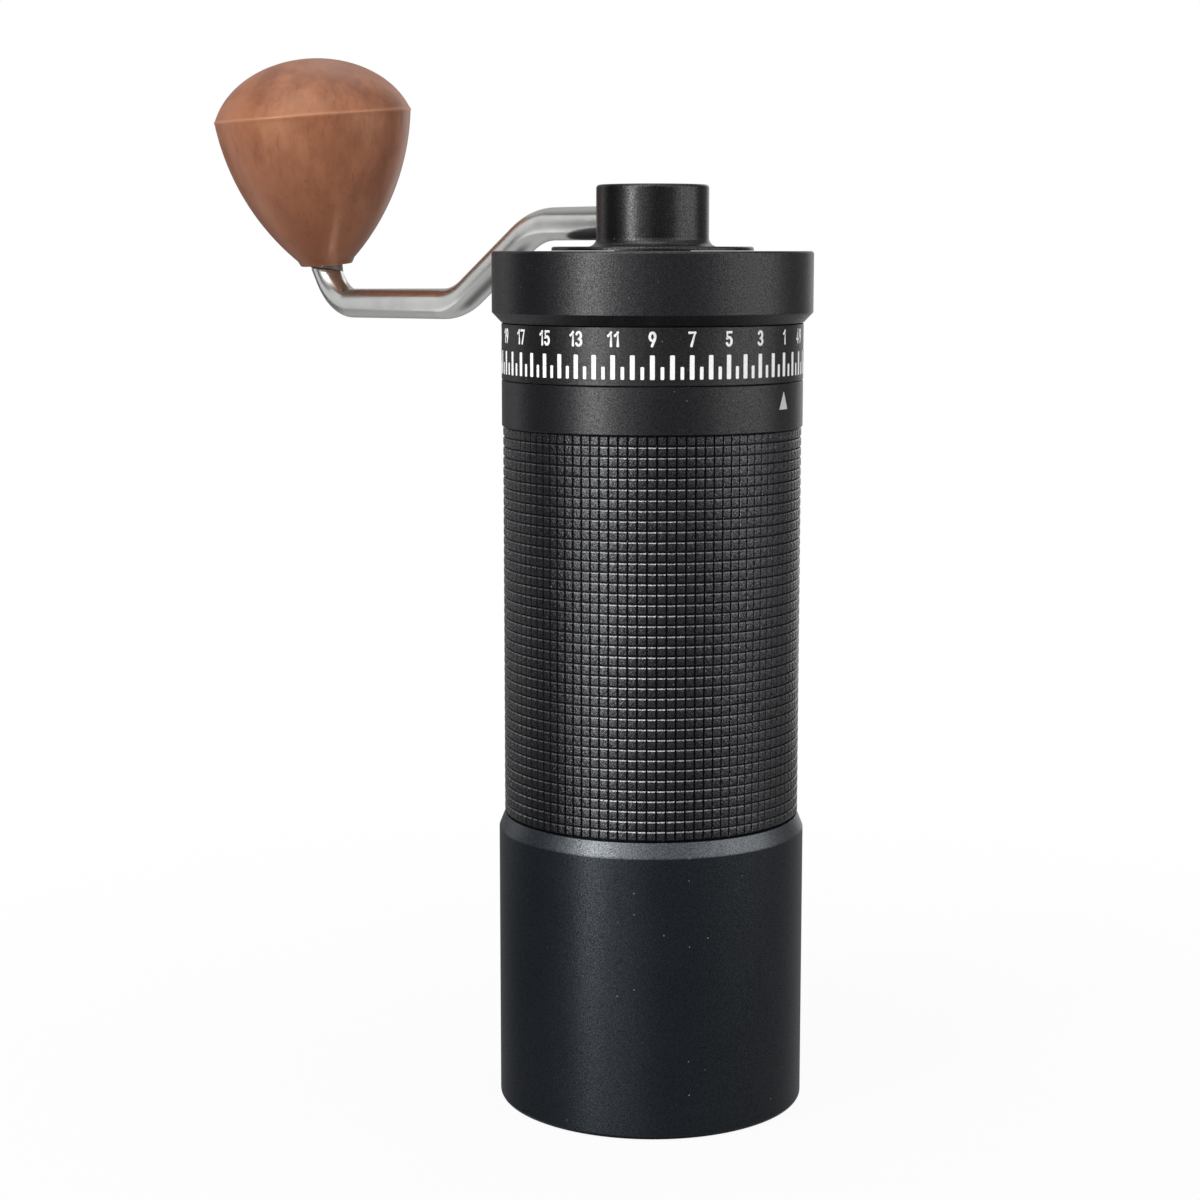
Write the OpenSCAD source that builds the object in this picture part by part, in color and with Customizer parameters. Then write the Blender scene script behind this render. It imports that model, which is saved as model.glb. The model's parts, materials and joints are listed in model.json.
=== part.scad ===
// Hand crank coffee grinder: a slim metal tube with a bean hopper in its upper part and a conical
// burr set in its foot, a push-on catch cup below, a setting dial at the neck, and a lift-off lid
// that carries the crank. Millimetres, +Z up. The origin is the middle of the cup's base, and the
// crank arm points along -X.

/* [Catch cup] */
// Height of the cup, base to rim
cup_h = 51.7; // [44:0.1:70]
// Thickness of the cup's wall
cup_wall = 2.8; // [2:0.1:3.4]
// Thickness of the cup's floor
cup_floor = 3; // [2:0.1:6]
// Height of the bevel round the rim
rim_bevel_h = 2.6; // [0.5:0.1:5]
// Width of the bevel round the rim, across the wall
rim_bevel_w = 1.05; // [0.3:0.05:1.5]
// Rounding of the edge that the cup stands on
foot_round = 0.8; // [0.3:0.1:2]

/* [Body tube] */
// Inside diameter of the hopper; the other diameters of the tube follow from it
hopper_d = 43.8; // [42.4:0.1:48]
// Wall of the tube under the grip sleeve
tube_wall = 2.7; // [2.2:0.1:3.4]
// Thickness of the grip sleeve
grip_t = 1.4; // [1:0.1:1.8]
// Height of the grip, cup rim to index band
grip_h = 68.5; // [60:0.5:90]
// How far the index band stands out of the grip
band_step = 0.2; // [0:0.1:1]
// Height of the index band
band_h = 8; // [7:0.1:12]
// Wall of the neck inside the dial
neck_wall = 1.5; // [1.2:0.1:1.8]
// How far the spigot stands outside the hopper's bore
spigot_step = 2; // [1.6:0.1:2.4]
// Depth of the spigot that enters the cup
spigot_h = 11.2; // [9:0.1:16]

/* [Dial] */
// Wall of the dial ring, outside its thread
dial_wall = 2.2; // [1.9:0.1:3]
// Depth of the dial's thread, from the neck outwards
thread_step = 0.6; // [0.5:0.1:0.8]
// Height of the dial ring
dial_h = 9.65; // [9:0.05:14]
// Height of the plain land at the top of the dial's bore
dial_land = 1.75; // [1:0.05:2]
// Bevel round the edges of the dial and the index band
edge_bevel = 0.15; // [0.05:0.05:0.3]
// Clicks in one turn of the dial
dial_clicks = 50; // [20:1:60]
// Turns of the dial from fully fine to fully coarse
dial_turns = 2; // [1:1:3]
// Feed of the burr in one turn of the dial
feed_pitch = 0.8; // [0.4:0.1:0.9]

/* [Neck collar and lid] */
// Wall of the collar on the neck
collar_wall = 1.6; // [1.4:0.1:2]
// Height of the collar
collar_h = 9.1; // [8:0.1:14]
// Thickness of the collar's lip over the end of the neck
collar_lip = 1.1; // [0.6:0.1:2]
// Wall of the lid's skirt
lid_wall = 2.55; // [2:0.05:3.5]
// Width of the cone at the lid's lower edge
lid_cone_w = 1.65; // [0.5:0.05:1.8]
// Height of that cone
lid_cone_h = 1.75; // [0.5:0.05:4]
// Thickness of the lid's top
lid_top_t = 3.1; // [2.4:0.1:5]
// Rounding of the lid's top edge
lid_round = 0.5; // [0.2:0.1:1.5]

/* [Crank hub] */
// Diameter of the hub
hub_d = 19.5; // [18:0.5:26]
// Height of the hub above the lid
hub_h = 11.25; // [9.5:0.25:18]
// Diameter of the flange under the hub
flange_d = 35; // [26:0.5:44]
// Thickness of that flange
flange_t = 0.7; // [0.5:0.1:2]
// Radius of the fillet between hub and flange
hub_fillet = 1.5; // [0.5:0.1:2]
// Rounding of the hub's top edge
hub_round = 0.6; // [0.2:0.1:1.5]
// Diameter of the stem that runs in the lid
stem_d = 13.2; // [12.8:0.1:14]

/* [Crank arm] */
// Diameter of the arm's round bar
arm_d = 6; // [5:0.1:7]
// Height of the arm's bore above the lid
arm_rise = 4.9; // [4.4:0.1:6]
// Crank radius, hub axis to knob axis
crank_r = 118.1; // [100:0.1:140]
// Distance from the hub axis to the upper corner of the bend
upper_corner = 36; // [32:0.5:40]
// Distance from the hub axis to the lower corner of the bend
lower_corner = 66; // [58:0.5:80]
// Drop from the bore to the lower corner
arm_drop = 15.2; // [10:0.1:18]
// Further drop from the lower corner to the knob's corner
arm_sag = 0.7; // [0:0.1:3]
// Radius of the upper bend
upper_bend = 25; // [8:0.5:30]
// Radius of the lower bend
lower_bend = 24; // [8:0.5:30]
// Radius of the bend up to the knob
end_bend = 11; // [7:0.5:14]
// Drop from the bore to the underside of the knob
knob_drop = 7.8; // [5:0.1:8.4]
// Gap between the knob and the end of the arm, filled by the tapered washer
washer_gap = 1; // [0.9:0.05:1.5]
// Slant of the face on the end of the arm
end_slant = 13; // [0:1:14]
// Angle through which the arm is turned in its bore
arm_roll = 5.1; // [0:0.1:8]

/* [Knob] */
// Diameter of the knob at its ridge
knob_d = 41.2; // [36:0.1:46]
// Diameter of the knob's underside
knob_foot_d = 11.2; // [10.5:0.1:14]
// Height of the ridge above the underside
ridge_h = 31; // [27:0.1:36]
// Height of the dome above the ridge
dome_h = 11.8; // [9:0.1:16]
// Radius of the curve of the knob's side
side_r = 49.3; // [44:0.1:80]
// Diameter of the spindle in the knob
spindle_d = 4.6; // [4:0.1:5]
// Length of the spindle in the knob
spindle_l = 31; // [24:0.5:33]
// Outside diameter of the sleeve in the knob
sleeve_d = 8; // [7:0.1:9]

/* [Burrs] */
// Outside diameter of the burr ring
burr_d = 38; // [36:0.5:40]
// Height of the burr ring
burr_ring_h = 16; // [14:0.5:18]
// Height of the burr cone
burr_cone_h = 18; // [17:0.5:22]
// Wall of the burr ring at its foot
ring_foot_wall = 1.1; // [0.9:0.1:1.7]
// Wall of the burr ring at its top
ring_top_wall = 5.5; // [4:0.1:7]
// Diameter of the cone at its top
cone_top_d = 13; // [12.6:0.1:16]
// Gap between the cutting edges at the foot
grind_gap = 0.4; // [0.35:0.05:1]
// Cutting teeth round the cone
cone_teeth = 30; // [12:1:40]
// Cutting teeth round the ring
ring_teeth = 36; // [12:1:48]
// Feed flutes round the cone
cone_flutes = 5; // [3:1:7]

/* [Shaft and bearings] */
// Diameter of the drive shaft
shaft_d = 8; // [7.8:0.05:8.4]
// Distance across the flats of the shaft's hexagon
hex_af = 6.9; // [6.2:0.05:6.9]
// Diameter of the thread at the shaft's foot
stud_d = 6; // [5:0.5:7]
// Outside diameter of the ball bearings
bearing_d = 16; // [15:0.2:17]
// Width of the ball bearings
bearing_w = 5; // [4:0.1:5.2]
// Balls in each bearing
bearing_balls = 9; // [6:1:10]
// Diameter of the bearing balls
bearing_ball_d = 2; // [1.6:0.1:2.2]
// Width of the arms that hold the bearings
spoke_w = 6; // [4:0.1:8]

/* [Hidden] */
$fn = 96;

// Clearances
seat_gap = 0.05;   // faces that rest or slide on each other
run_gap = 0.05;    // radial, a shaft or ring that turns in a bore
fit_gap = 0.02;    // radial, a piece that is pressed or screwed in
slip_gap = 0.3;    // radial, parts that push over each other
seam_gap = 0.25;   // between the grip sleeve and the cup's rim
dial_gap = 0.1;    // above and below the dial
hex_gap = 0.1;     // round the shaft's hexagon in its socket
cut = 0.01;        // how far a cutter runs past a face

// Catch cup
floor_cove = 2;    // bevel between the wall and the floor

// Heights, from the foot up
z_rim = cup_h;
z_spigot = z_rim - spigot_h;
clamp_h = 3.5;
clamp_step = 1;    // the clamp ring's thread, outside the burr ring's seat
burr_lip = 2.4;    // the lip that the burr ring is clamped against
z_ring0 = z_spigot + clamp_h;
z_ring1 = z_ring0 + burr_ring_h;
z_cone0 = z_ring0;
z_cone1 = z_cone0 + burr_cone_h;
cone_room = 2;     // above the cone, to the ledge that the bearing holder sits on
z_ledge = z_cone1 + cone_room;
z_band0 = z_rim + grip_h;
z_band1 = z_band0 + band_h;
z_dial0 = z_band1 + dial_gap;
z_dial1 = z_dial0 + dial_h;
z_collar0 = z_dial1 + dial_gap;
z_collar1 = z_collar0 + collar_h;
z_neck1 = z_collar1 - collar_lip;
z_lid0 = z_dial1 + 1.5 * dial_gap;
z_lid_in = z_collar1 + seat_gap;
z_lid1 = z_lid_in + lid_top_t;
z_hub0 = z_lid1 + seat_gap;
z_hub1 = z_lid1 + hub_h + seat_gap;
z_arm = z_lid1 + arm_rise;

// Radii that pieces share, from the hopper's bore outwards
hopper_r = hopper_d / 2;
spigot_r = hopper_r + spigot_step;
cup_bore_r = spigot_r + slip_gap;
cup_r = cup_bore_r + cup_wall;
grip_seat_r = hopper_r + tube_wall;
grip_r = grip_seat_r + grip_t;
band_r = grip_r + band_step;
neck_r = hopper_r + neck_wall;
thread_r = neck_r + thread_step;
dial_r = thread_r + dial_wall;
collar_r = neck_r + collar_wall;
lid_bore_r = collar_r + slip_gap;
lid_r = lid_bore_r + lid_wall;
burr_r = burr_d / 2;
ring_foot_r = burr_r - ring_foot_wall;
ring_top_r = burr_r - ring_top_wall;
shaft_r = shaft_d / 2;
stem_r = stem_d / 2;
socket_af = hex_af + 2 * hex_gap;

// Bearing carrier, held by three keys in the neck's slots
feed_travel = dial_turns * feed_pitch;
register_h = 1.1;
key_h = 4;
z_slot0 = z_band1 + register_h + 2 * dial_gap;
z_key0 = z_slot0 + feed_travel + dial_gap;
seat_drop = 0.2;       // the bearing's seat, below the foot of the keys
z_upper0 = z_key0 - seat_drop;
z_upper1 = z_upper0 + bearing_w;
carrier_lip = 1.1;
bearing_lip = 1.5;     // the lip that a bearing stands on
seat_wall = 2.5;
clip_t = 0.8;
clip_bite = 0.5;       // how far the bearing clip enters its groove
clip_reach = 1.1;      // how far it covers the bearing
clip_cover = 0.75;     // wall above the bearing clip
spoke_angles = [60, 180, 300];

// Lower bearing, burr cone and shaft
holder_step = 0.5;     // the holder's hub and spokes, above its foot
holder_wall = 2;
holder_spoke_w = 4.2;
shaft_collar_r = 5.5;
shaft_collar_h = 1.5;
preload_l = 4;
z_collar_top = z_cone1 + shaft_collar_h;
z_lower0 = z_collar_top + preload_l;
holder_ring_h = 4;
holder_ring_t = 2.1;
washer_h = 0.8;
nut_h = 3.6;
nut_af = 10;
stud_end = 0.7;
z_stud0 = z_cone0 - washer_h - nut_h - stud_end;
pin_r = 1;
pin_l = 11;
z_pin = z_cone1 - 1.2;
washer_w = 5;
clip_depth = 0.4;      // depth of the shaft clip's groove
z_clip = z_upper1 + seat_gap;
hex_step = 1.2;
z_hex0 = z_clip + clip_t + hex_step;
z_hex1 = z_lid1;
race_lip = bearing_ball_d * 0.36;
cage_gap = 0.25;       // between the cage and either ring
cage_h = bearing_ball_d * 1.3;
ball_ring_r = (shaft_d + bearing_d) / 4;
preload_wire_r = 0.35;

// Teeth and flutes, as grooves: half width, depth and lean
ring_tooth_w = 0.9;
ring_tooth_depth = 0.7;
ring_tooth_lean = 8;
cone_tooth_w = 0.8;
cone_tooth_depth = 0.8;
cone_tooth_lean = -14;
flute_w = 2.6;
flute_depth = 2.4;
flute_lean = -22;
cone_land_h = 2;       // height of the finely toothed land at the cone's foot

// Stem, bushing and retaining ring under the lid
bush_t = 1.4;
bush_flange_t = 1;
bush_flange_w = 1.5;
bush_flange_r = stem_r + bush_t + bush_flange_w;
hub_washer_t = 0.6;
hub_ring_t = 0.85;
hub_ring_depth = 0.8;
hub_ring_out = 1.8;    // how far the ring stands out of the stem
stem_end = 4.3;        // stem below the ring
z_bush0 = z_lid_in - bush_flange_t;
z_washer0 = z_bush0 - seat_gap - hub_washer_t;
z_ring_top = z_washer0 - seat_gap;
z_stem0 = z_ring_top - hub_ring_t - stem_end;
hex_room = 1;          // above the end of the shaft's hexagon
socket_top = z_hex1 + hex_room;

// Crank arm, drawn in its own plane and then turned about its bore
arm_r = arm_d / 2;
arm_start = 2.5;
slope_a = atan(arm_drop / (lower_corner - upper_corner));
knob_washer_r = 3.35;
arm_end = -knob_drop - washer_gap - seat_gap;
// the last bend is cut off where it passes under the knob, before it stands upright
end_heading = acos(max(0, 1 - (arm_end + arm_drop + arm_sag) / end_bend));
end_corner = crank_r + end_bend * (1 - sin(end_heading));
slope_b = atan(arm_sag / (end_corner - lower_corner));
spindle_seat = washer_gap - spindle_d / 2 * tan(end_slant);   // shoulder below the knob
screw_x = 6;
screw_r = 1.5;
screw_l = 4;
screw_key = 1.5;
screw_key_l = 1.2;
spindle_thread_r = 1.5;
spindle_thread_l = 3.2;
spindle_groove = 2.6;
spindle_groove_depth = 0.4;
spindle_room = 0.5;    // above the end of the spindle
sleeve_end = 1.7;      // closed end of the sleeve
sleeve_top = spindle_l + spindle_room + sleeve_end;
clip_seat = 1;         // depth of the spindle clip's groove in the sleeve

// Knob outline
foot_bevel_h = 1.1;
foot_bevel_w = 0.55;
ridge_flat = 0.5;
ridge_bevel = 0.15;
dome_sink = 4.4;       // the dome's middle, below the ridge

// Click detent between the index band and the dial, under the index mark
pointer_angle = 22.7;
detent_r = 0.75;
detent_ring_r = (thread_r + dial_r) / 2;
detent_hole_l = 5.5;
detent_out = 0.25;     // how far the ball stands out of the band
detent_track = 0.35;
notch_r = 0.35;
detent_wire_r = 0.14;

// Seals
seal_r = 0.7;
seal_out = 0.2;        // how far a seal stands out of its groove
z_cup_seal = z_rim - 5;
z_lid_seal = z_collar0 + 5.9;

// ---- helpers ----

// A ring with square edges
module ring(r_out, r_in, z0, z1) {
    difference() {
        translate([0, 0, z0]) cylinder(r = r_out, h = z1 - z0);
        translate([0, 0, z0 - cut]) cylinder(r = r_in, h = z1 - z0 + 2 * cut);
    }
}

// A torus of round section about Z
module torus(r, section_r, z) {
    translate([0, 0, z]) rotate_extrude() translate([r, 0]) circle(r = section_r);
}

// A disc whose top edge is rounded
module rounded_disc(r, z0, z1, edge) {
    rotate_extrude() {
        translate([0, z0]) square([r, z1 - z0 - edge]);
        translate([0, z0]) square([r - edge, z1 - z0]);
        intersection() {
            translate([r - edge, z1 - edge]) circle(r = edge);
            translate([0, z0]) square([r, z1 - z0]);
        }
    }
}

// A disc whose edges are bevelled
module bevelled_disc(r, z0, z1, edge) {
    rotate_extrude() polygon([[0, z0], [r - edge, z0], [r, z0 + edge], [r, z1 - edge],
        [r - edge, z1], [0, z1]]);
}

// An upright hexagonal bar, sized across its flats
module hexagon(af, z0, z1) {
    translate([0, 0, z0]) cylinder(d = af / cos(30), h = z1 - z0, $fn = 6);
}

// A round wire wound about Z, with flat-cut ends
function coil_point(r, z, a, wire, lift, s, sides) =
    let (b = 360 * s / sides, rr = r + wire * cos(b), zz = wire * sin(b))
    [rr * cos(a), rr * sin(a), z + lift + zz];
module coil(r, wire, z0, z1, turns, steps = 20, sides = 8) {
    n = turns * steps;
    rise = z1 - z0 - 2 * wire;
    points = [for (i = [0:n], s = [0:sides - 1])
        coil_point(r, z0 + wire, 360 * i / steps, wire, rise * i / n, s, sides)];
    skin = [for (i = [0:n - 1], s = [0:sides - 1])
        let (a = i * sides + s, b = i * sides + (s + 1) % sides)
        [a, a + sides, b + sides, b]];
    polyhedron(points,
        concat(skin, [[for (s = [0:sides - 1]) s]],
            [[for (s = [sides - 1:-1:0]) n * sides + s]]));
}

// Everything that turns with the arm about the arm's bore
module arm_frame() {
    translate([0, 0, z_arm]) rotate([arm_roll, 0, 0]) children();
}

// The knob's own frame: its spindle is Z and its underside is z = 0
module knob_frame() {
    arm_frame() translate([-crank_r, 0, -knob_drop]) children();
}

// Three spokes from the hub of a bearing seat
module spokes(r_in, r_out, w, z0, z1) {
    for (a = spoke_angles)
        rotate(a) translate([r_in, -w / 2, z0]) cube([r_out - r_in, w, z1 - z0]);
}

// ---- catch cup ----

module catch_cup() {
    color([0.13, 0.14, 0.16]) difference() {
        rotate_extrude() difference() {
            union() {
                translate([0, foot_round]) square([cup_r, cup_h - foot_round]);
                square([cup_r - foot_round, cup_h]);
                translate([cup_r - foot_round, foot_round]) circle(r = foot_round);
            }
            polygon([[cup_r - rim_bevel_w, cup_h + cut], [cup_r + 1, cup_h + cut],
                [cup_r + 1, cup_h - rim_bevel_h], [cup_r, cup_h - rim_bevel_h]]);
        }
        translate([0, 0, cup_floor + floor_cove]) cylinder(r = cup_bore_r, h = cup_h);
        translate([0, 0, cup_floor])
            cylinder(r1 = cup_bore_r - floor_cove, r2 = cup_bore_r, h = floor_cove + cut);
    }
}

// ---- body ----

// One tube: spigot, seat of the grip sleeve, index band and neck
module body_tube() {
    color([0.16, 0.16, 0.17]) difference() {
        union() {
            translate([0, 0, z_spigot]) cylinder(r = spigot_r, h = spigot_h + cut);
            translate([0, 0, z_rim]) cylinder(r = grip_seat_r, h = grip_h + cut);
            bevelled_disc(band_r, z_band0, z_band1, edge_bevel);
            translate([0, 0, z_band1 - cut])
                cylinder(r = thread_r - run_gap, h = register_h + cut);
            translate([0, 0, z_band1]) cylinder(r = neck_r, h = z_neck1 - z_band1);
        }
        // hopper, funnel, seat of the burr ring and thread of its clamp ring
        translate([0, 0, z_ledge]) cylinder(r = hopper_r, h = z_neck1);
        translate([0, 0, z_ring1 - cut]) cylinder(r1 = burr_r - burr_lip,
            r2 = hopper_r - holder_ring_t, h = z_ledge - z_ring1 + 2 * cut);
        translate([0, 0, z_spigot - cut])
            cylinder(r = burr_r + fit_gap, h = z_ring1 - z_spigot + cut);
        translate([0, 0, z_spigot - cut]) cylinder(r = burr_r + clamp_step, h = clamp_h + cut);
        // slots for the carrier's keys, open at the top
        spokes(hopper_r - 1, thread_r + 1, spoke_w + 2 * dial_gap, z_slot0, z_neck1 + 1);
        // seal groove and detent hole
        torus(spigot_r - seal_r + seal_out, seal_r + fit_gap, z_cup_seal);
        rotate(pointer_angle) translate([detent_ring_r, 0, z_band1 - detent_hole_l])
            cylinder(r = detent_r + run_gap, h = detent_hole_l + 1);
    }
}

module grip_sleeve() {
    color([0.18, 0.18, 0.19])
        ring(grip_r, grip_seat_r + fit_gap, z_rim + seam_gap, z_band0 - seat_gap);
}

module cup_seal() {
    color([0.08, 0.08, 0.08]) torus(spigot_r - seal_r + seal_out, seal_r, z_cup_seal);
}

// Cap nut on the neck: it holds the dial down and seats the lid
module neck_collar() {
    color([0.16, 0.16, 0.17]) difference() {
        translate([0, 0, z_collar0]) cylinder(r = collar_r, h = collar_h);
        translate([0, 0, z_collar0 - cut])
            cylinder(r = neck_r + fit_gap, h = collar_h - collar_lip + cut);
        translate([0, 0, z_collar0]) cylinder(r = hopper_r, h = collar_h + cut);
        torus(collar_r - seal_r + seal_out, seal_r + fit_gap, z_lid_seal);
    }
}

module lid_seal() {
    color([0.08, 0.08, 0.08]) torus(collar_r - seal_r + seal_out, seal_r, z_lid_seal);
}

// Groove of V section along a cone's side, from (r0, z0) to (r1, z1)
module cone_groove(r0, z0, r1, z1, half_w, depth, lean) {
    length = norm([r1 - r0, z1 - z0]);
    tilt = atan2(r1 - r0, z1 - z0);
    translate([r0, 0, z0]) rotate([lean, tilt, 0]) translate([0, 0, -1])
        linear_extrude(length + 2) polygon([[-depth, 0], [1, -half_w], [1, half_w]]);
}

module outer_burr() {
    color([0.62, 0.62, 0.64]) difference() {
        translate([0, 0, z_ring0]) cylinder(r = burr_r, h = burr_ring_h - seat_gap);
        translate([0, 0, z_ring0 - cut])
            cylinder(r1 = ring_foot_r, r2 = ring_top_r, h = burr_ring_h + cut);
        for (i = [0:ring_teeth - 1]) rotate(i * 360 / ring_teeth)
            mirror([1, 0, 0]) cone_groove(-ring_foot_r, z_ring0, -ring_top_r, z_ring1,
                ring_tooth_w, ring_tooth_depth, ring_tooth_lean);
    }
}

module burr_clamp_ring() {
    color([0.55, 0.55, 0.56])
        ring(burr_r + clamp_step - fit_gap, ring_foot_r, z_spigot, z_ring0 - seat_gap);
}

// Spider at the foot of the hopper; beans fall between its spokes
module lower_bearing_holder() {
    z_foot = z_ledge + holder_step;
    color([0.60, 0.61, 0.63]) difference() {
        union() {
            ring(hopper_r - fit_gap, hopper_r - holder_ring_t, z_ledge, z_ledge + holder_ring_h);
            spokes(bearing_d / 2 + 1, hopper_r - holder_ring_t + holder_step, holder_spoke_w, z_foot,
                z_ledge + holder_ring_h);
            translate([0, 0, z_foot])
                cylinder(r = bearing_d / 2 + holder_wall, h = z_lower0 + bearing_w - z_foot);
        }
        translate([0, 0, z_lower0]) cylinder(d = bearing_d + 2 * fit_gap, h = bearing_w + cut);
        translate([0, 0, z_ledge]) cylinder(r = bearing_d / 2 - bearing_lip, h = z_lower0 - z_ledge + cut);
    }
}

// A bearing's outer ring, grooved for the balls
module bearing_outer(z0) {
    difference() {
        ring(bearing_d / 2, ball_ring_r + race_lip, z0, z0 + bearing_w);
        torus(ball_ring_r, bearing_ball_d / 2 + run_gap, z0 + bearing_w / 2);
    }
}

// A bearing's inner ring, grooved for the balls
module bearing_inner(z0, bore_r) {
    difference() {
        ring(ball_ring_r - race_lip, bore_r, z0, z0 + bearing_w);
        torus(ball_ring_r, bearing_ball_d / 2 + run_gap, z0 + bearing_w / 2);
    }
}

module bearing_ball_set(z0) {
    for (i = [0:bearing_balls - 1]) rotate(i * 360 / bearing_balls)
        translate([ball_ring_r, 0, z0 + bearing_w / 2]) sphere(d = bearing_ball_d);
}

module bearing_cage(z0) {
    difference() {
        ring(ball_ring_r + race_lip - cage_gap, ball_ring_r - race_lip + cage_gap,
            z0 + (bearing_w - cage_h) / 2, z0 + (bearing_w + cage_h) / 2);
        for (i = [0:bearing_balls - 1]) rotate(i * 360 / bearing_balls)
            translate([ball_ring_r, 0, z0 + bearing_w / 2])
                sphere(d = bearing_ball_d + 2 * run_gap);
    }
}

module lower_bearing_outer() { color([0.72, 0.73, 0.75]) bearing_outer(z_lower0); }
module lower_bearing_inner() {
    color([0.72, 0.73, 0.75]) bearing_inner(z_lower0, shaft_r + run_gap);
}
module lower_bearing_cage() { color([0.70, 0.60, 0.35]) bearing_cage(z_lower0); }
module lower_bearing_balls() { color([0.80, 0.80, 0.82]) bearing_ball_set(z_lower0); }

module detent_ball() {
    color([0.80, 0.80, 0.82]) rotate(pointer_angle)
        translate([detent_ring_r, 0, z_band1 + detent_out - detent_r]) sphere(r = detent_r);
}

module detent_spring() {
    color([0.70, 0.70, 0.72]) rotate(pointer_angle) translate([detent_ring_r, 0, 0])
        coil(detent_r - detent_wire_r - 0.1, detent_wire_r, z_band1 - detent_hole_l + seat_gap,
            z_band1 + detent_out - 1.9 * detent_r, 6, 12, 6);
}

// ---- dial and bearing carrier ----

module dial_ring() {
    track_in = detent_ring_r - detent_r + dial_gap;
    track_out = detent_ring_r + detent_r - dial_gap;
    color([0.17, 0.17, 0.18]) difference() {
        bevelled_disc(dial_r, z_dial0, z_dial1, edge_bevel);
        translate([0, 0, z_dial0 - cut])
            cylinder(r = thread_r, h = dial_h - dial_land + cut);
        translate([0, 0, z_dial0]) cylinder(r = neck_r + run_gap, h = dial_h + cut);
        // click track and its notches in the underside
        ring(track_out, track_in, z_dial0 - cut, z_dial0 + detent_track);
        for (i = [0:dial_clicks - 1])
            rotate(pointer_angle + i * 360 / dial_clicks)
                translate([track_in + dial_gap, 0, z_dial0 + detent_track]) rotate([0, 90, 0])
                    cylinder(r = notch_r, h = track_out - track_in - 2 * dial_gap);
    }
}

// Spider that carries the upper bearing; its keys reach the dial's thread through the slots
module bearing_carrier() {
    hub_top = z_clip + clip_t + clip_cover;
    color([0.60, 0.61, 0.63]) difference() {
        union() {
            translate([0, 0, z_upper0 - carrier_lip])
                cylinder(r = bearing_d / 2 + seat_wall, h = hub_top - z_upper0 + carrier_lip);
            intersection() {
                spokes(bearing_d / 2 + 1, thread_r + 1, spoke_w, z_key0, z_key0 + key_h);
                translate([0, 0, z_key0]) cylinder(r = thread_r - 2 * run_gap, h = key_h);
            }
        }
        translate([0, 0, z_upper0]) cylinder(d = bearing_d + 2 * fit_gap, h = hub_top);
        translate([0, 0, z_upper0 - carrier_lip - cut])
            cylinder(r = bearing_d / 2 - bearing_lip, h = carrier_lip + 2 * cut);
        translate([0, 0, z_upper1 + seat_gap / 2])
            cylinder(r = bearing_d / 2 + clip_bite + seat_gap, h = clip_t + seat_gap);
    }
}

module upper_bearing_outer() { color([0.72, 0.73, 0.75]) bearing_outer(z_upper0); }
module upper_bearing_inner() {
    color([0.72, 0.73, 0.75]) bearing_inner(z_upper0, shaft_r + fit_gap);
}
module upper_bearing_cage() { color([0.70, 0.60, 0.35]) bearing_cage(z_upper0); }
module upper_bearing_balls() { color([0.80, 0.80, 0.82]) bearing_ball_set(z_upper0); }

// Open spring ring that sits in a groove
module snap_ring(r_out, r_in, z0, t, mouth) {
    difference() {
        ring(r_out, r_in, z0, z0 + t);
        translate([0, -mouth / 2, z0 - 1]) cube([r_out + 1, mouth, t + 2]);
    }
}

module bearing_clip() {
    color([0.35, 0.35, 0.37])
        snap_ring(bearing_d / 2 + clip_bite, bearing_d / 2 - clip_reach, z_clip, clip_t - seat_gap, 3);
}

// ---- drive shaft and burr cone ----

module drive_shaft() {
    color([0.75, 0.76, 0.78]) difference() {
        union() {
            translate([0, 0, z_stud0]) cylinder(d = stud_d, h = z_cone0 - z_stud0 + cut);
            translate([0, 0, z_cone0]) cylinder(r = shaft_r, h = z_hex0 - z_cone0);
            translate([0, 0, z_cone1]) cylinder(r = shaft_collar_r, h = shaft_collar_h);
            hexagon(hex_af, z_hex0 - cut, z_hex1);
        }
        // groove of the shaft clip and hole of the drive pin
        ring(shaft_r + 1, shaft_r - clip_depth, z_clip - seat_gap / 2, z_clip + clip_t);
        translate([-shaft_r - 1, 0, z_pin]) rotate([0, 90, 0])
            cylinder(r = pin_r + fit_gap, h = shaft_d + 2);
    }
}

module shaft_clip() {
    color([0.35, 0.35, 0.37])
        snap_ring(ball_ring_r - race_lip - 0.1, shaft_r - clip_depth + fit_gap, z_clip,
            clip_t - seat_gap, 2.4);
}

module preload_spring() {
    color([0.70, 0.70, 0.72])
        coil(shaft_r + 2 * preload_wire_r + seat_gap, preload_wire_r, z_collar_top + seat_gap,
            z_lower0 - seat_gap, 3);
}

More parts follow.
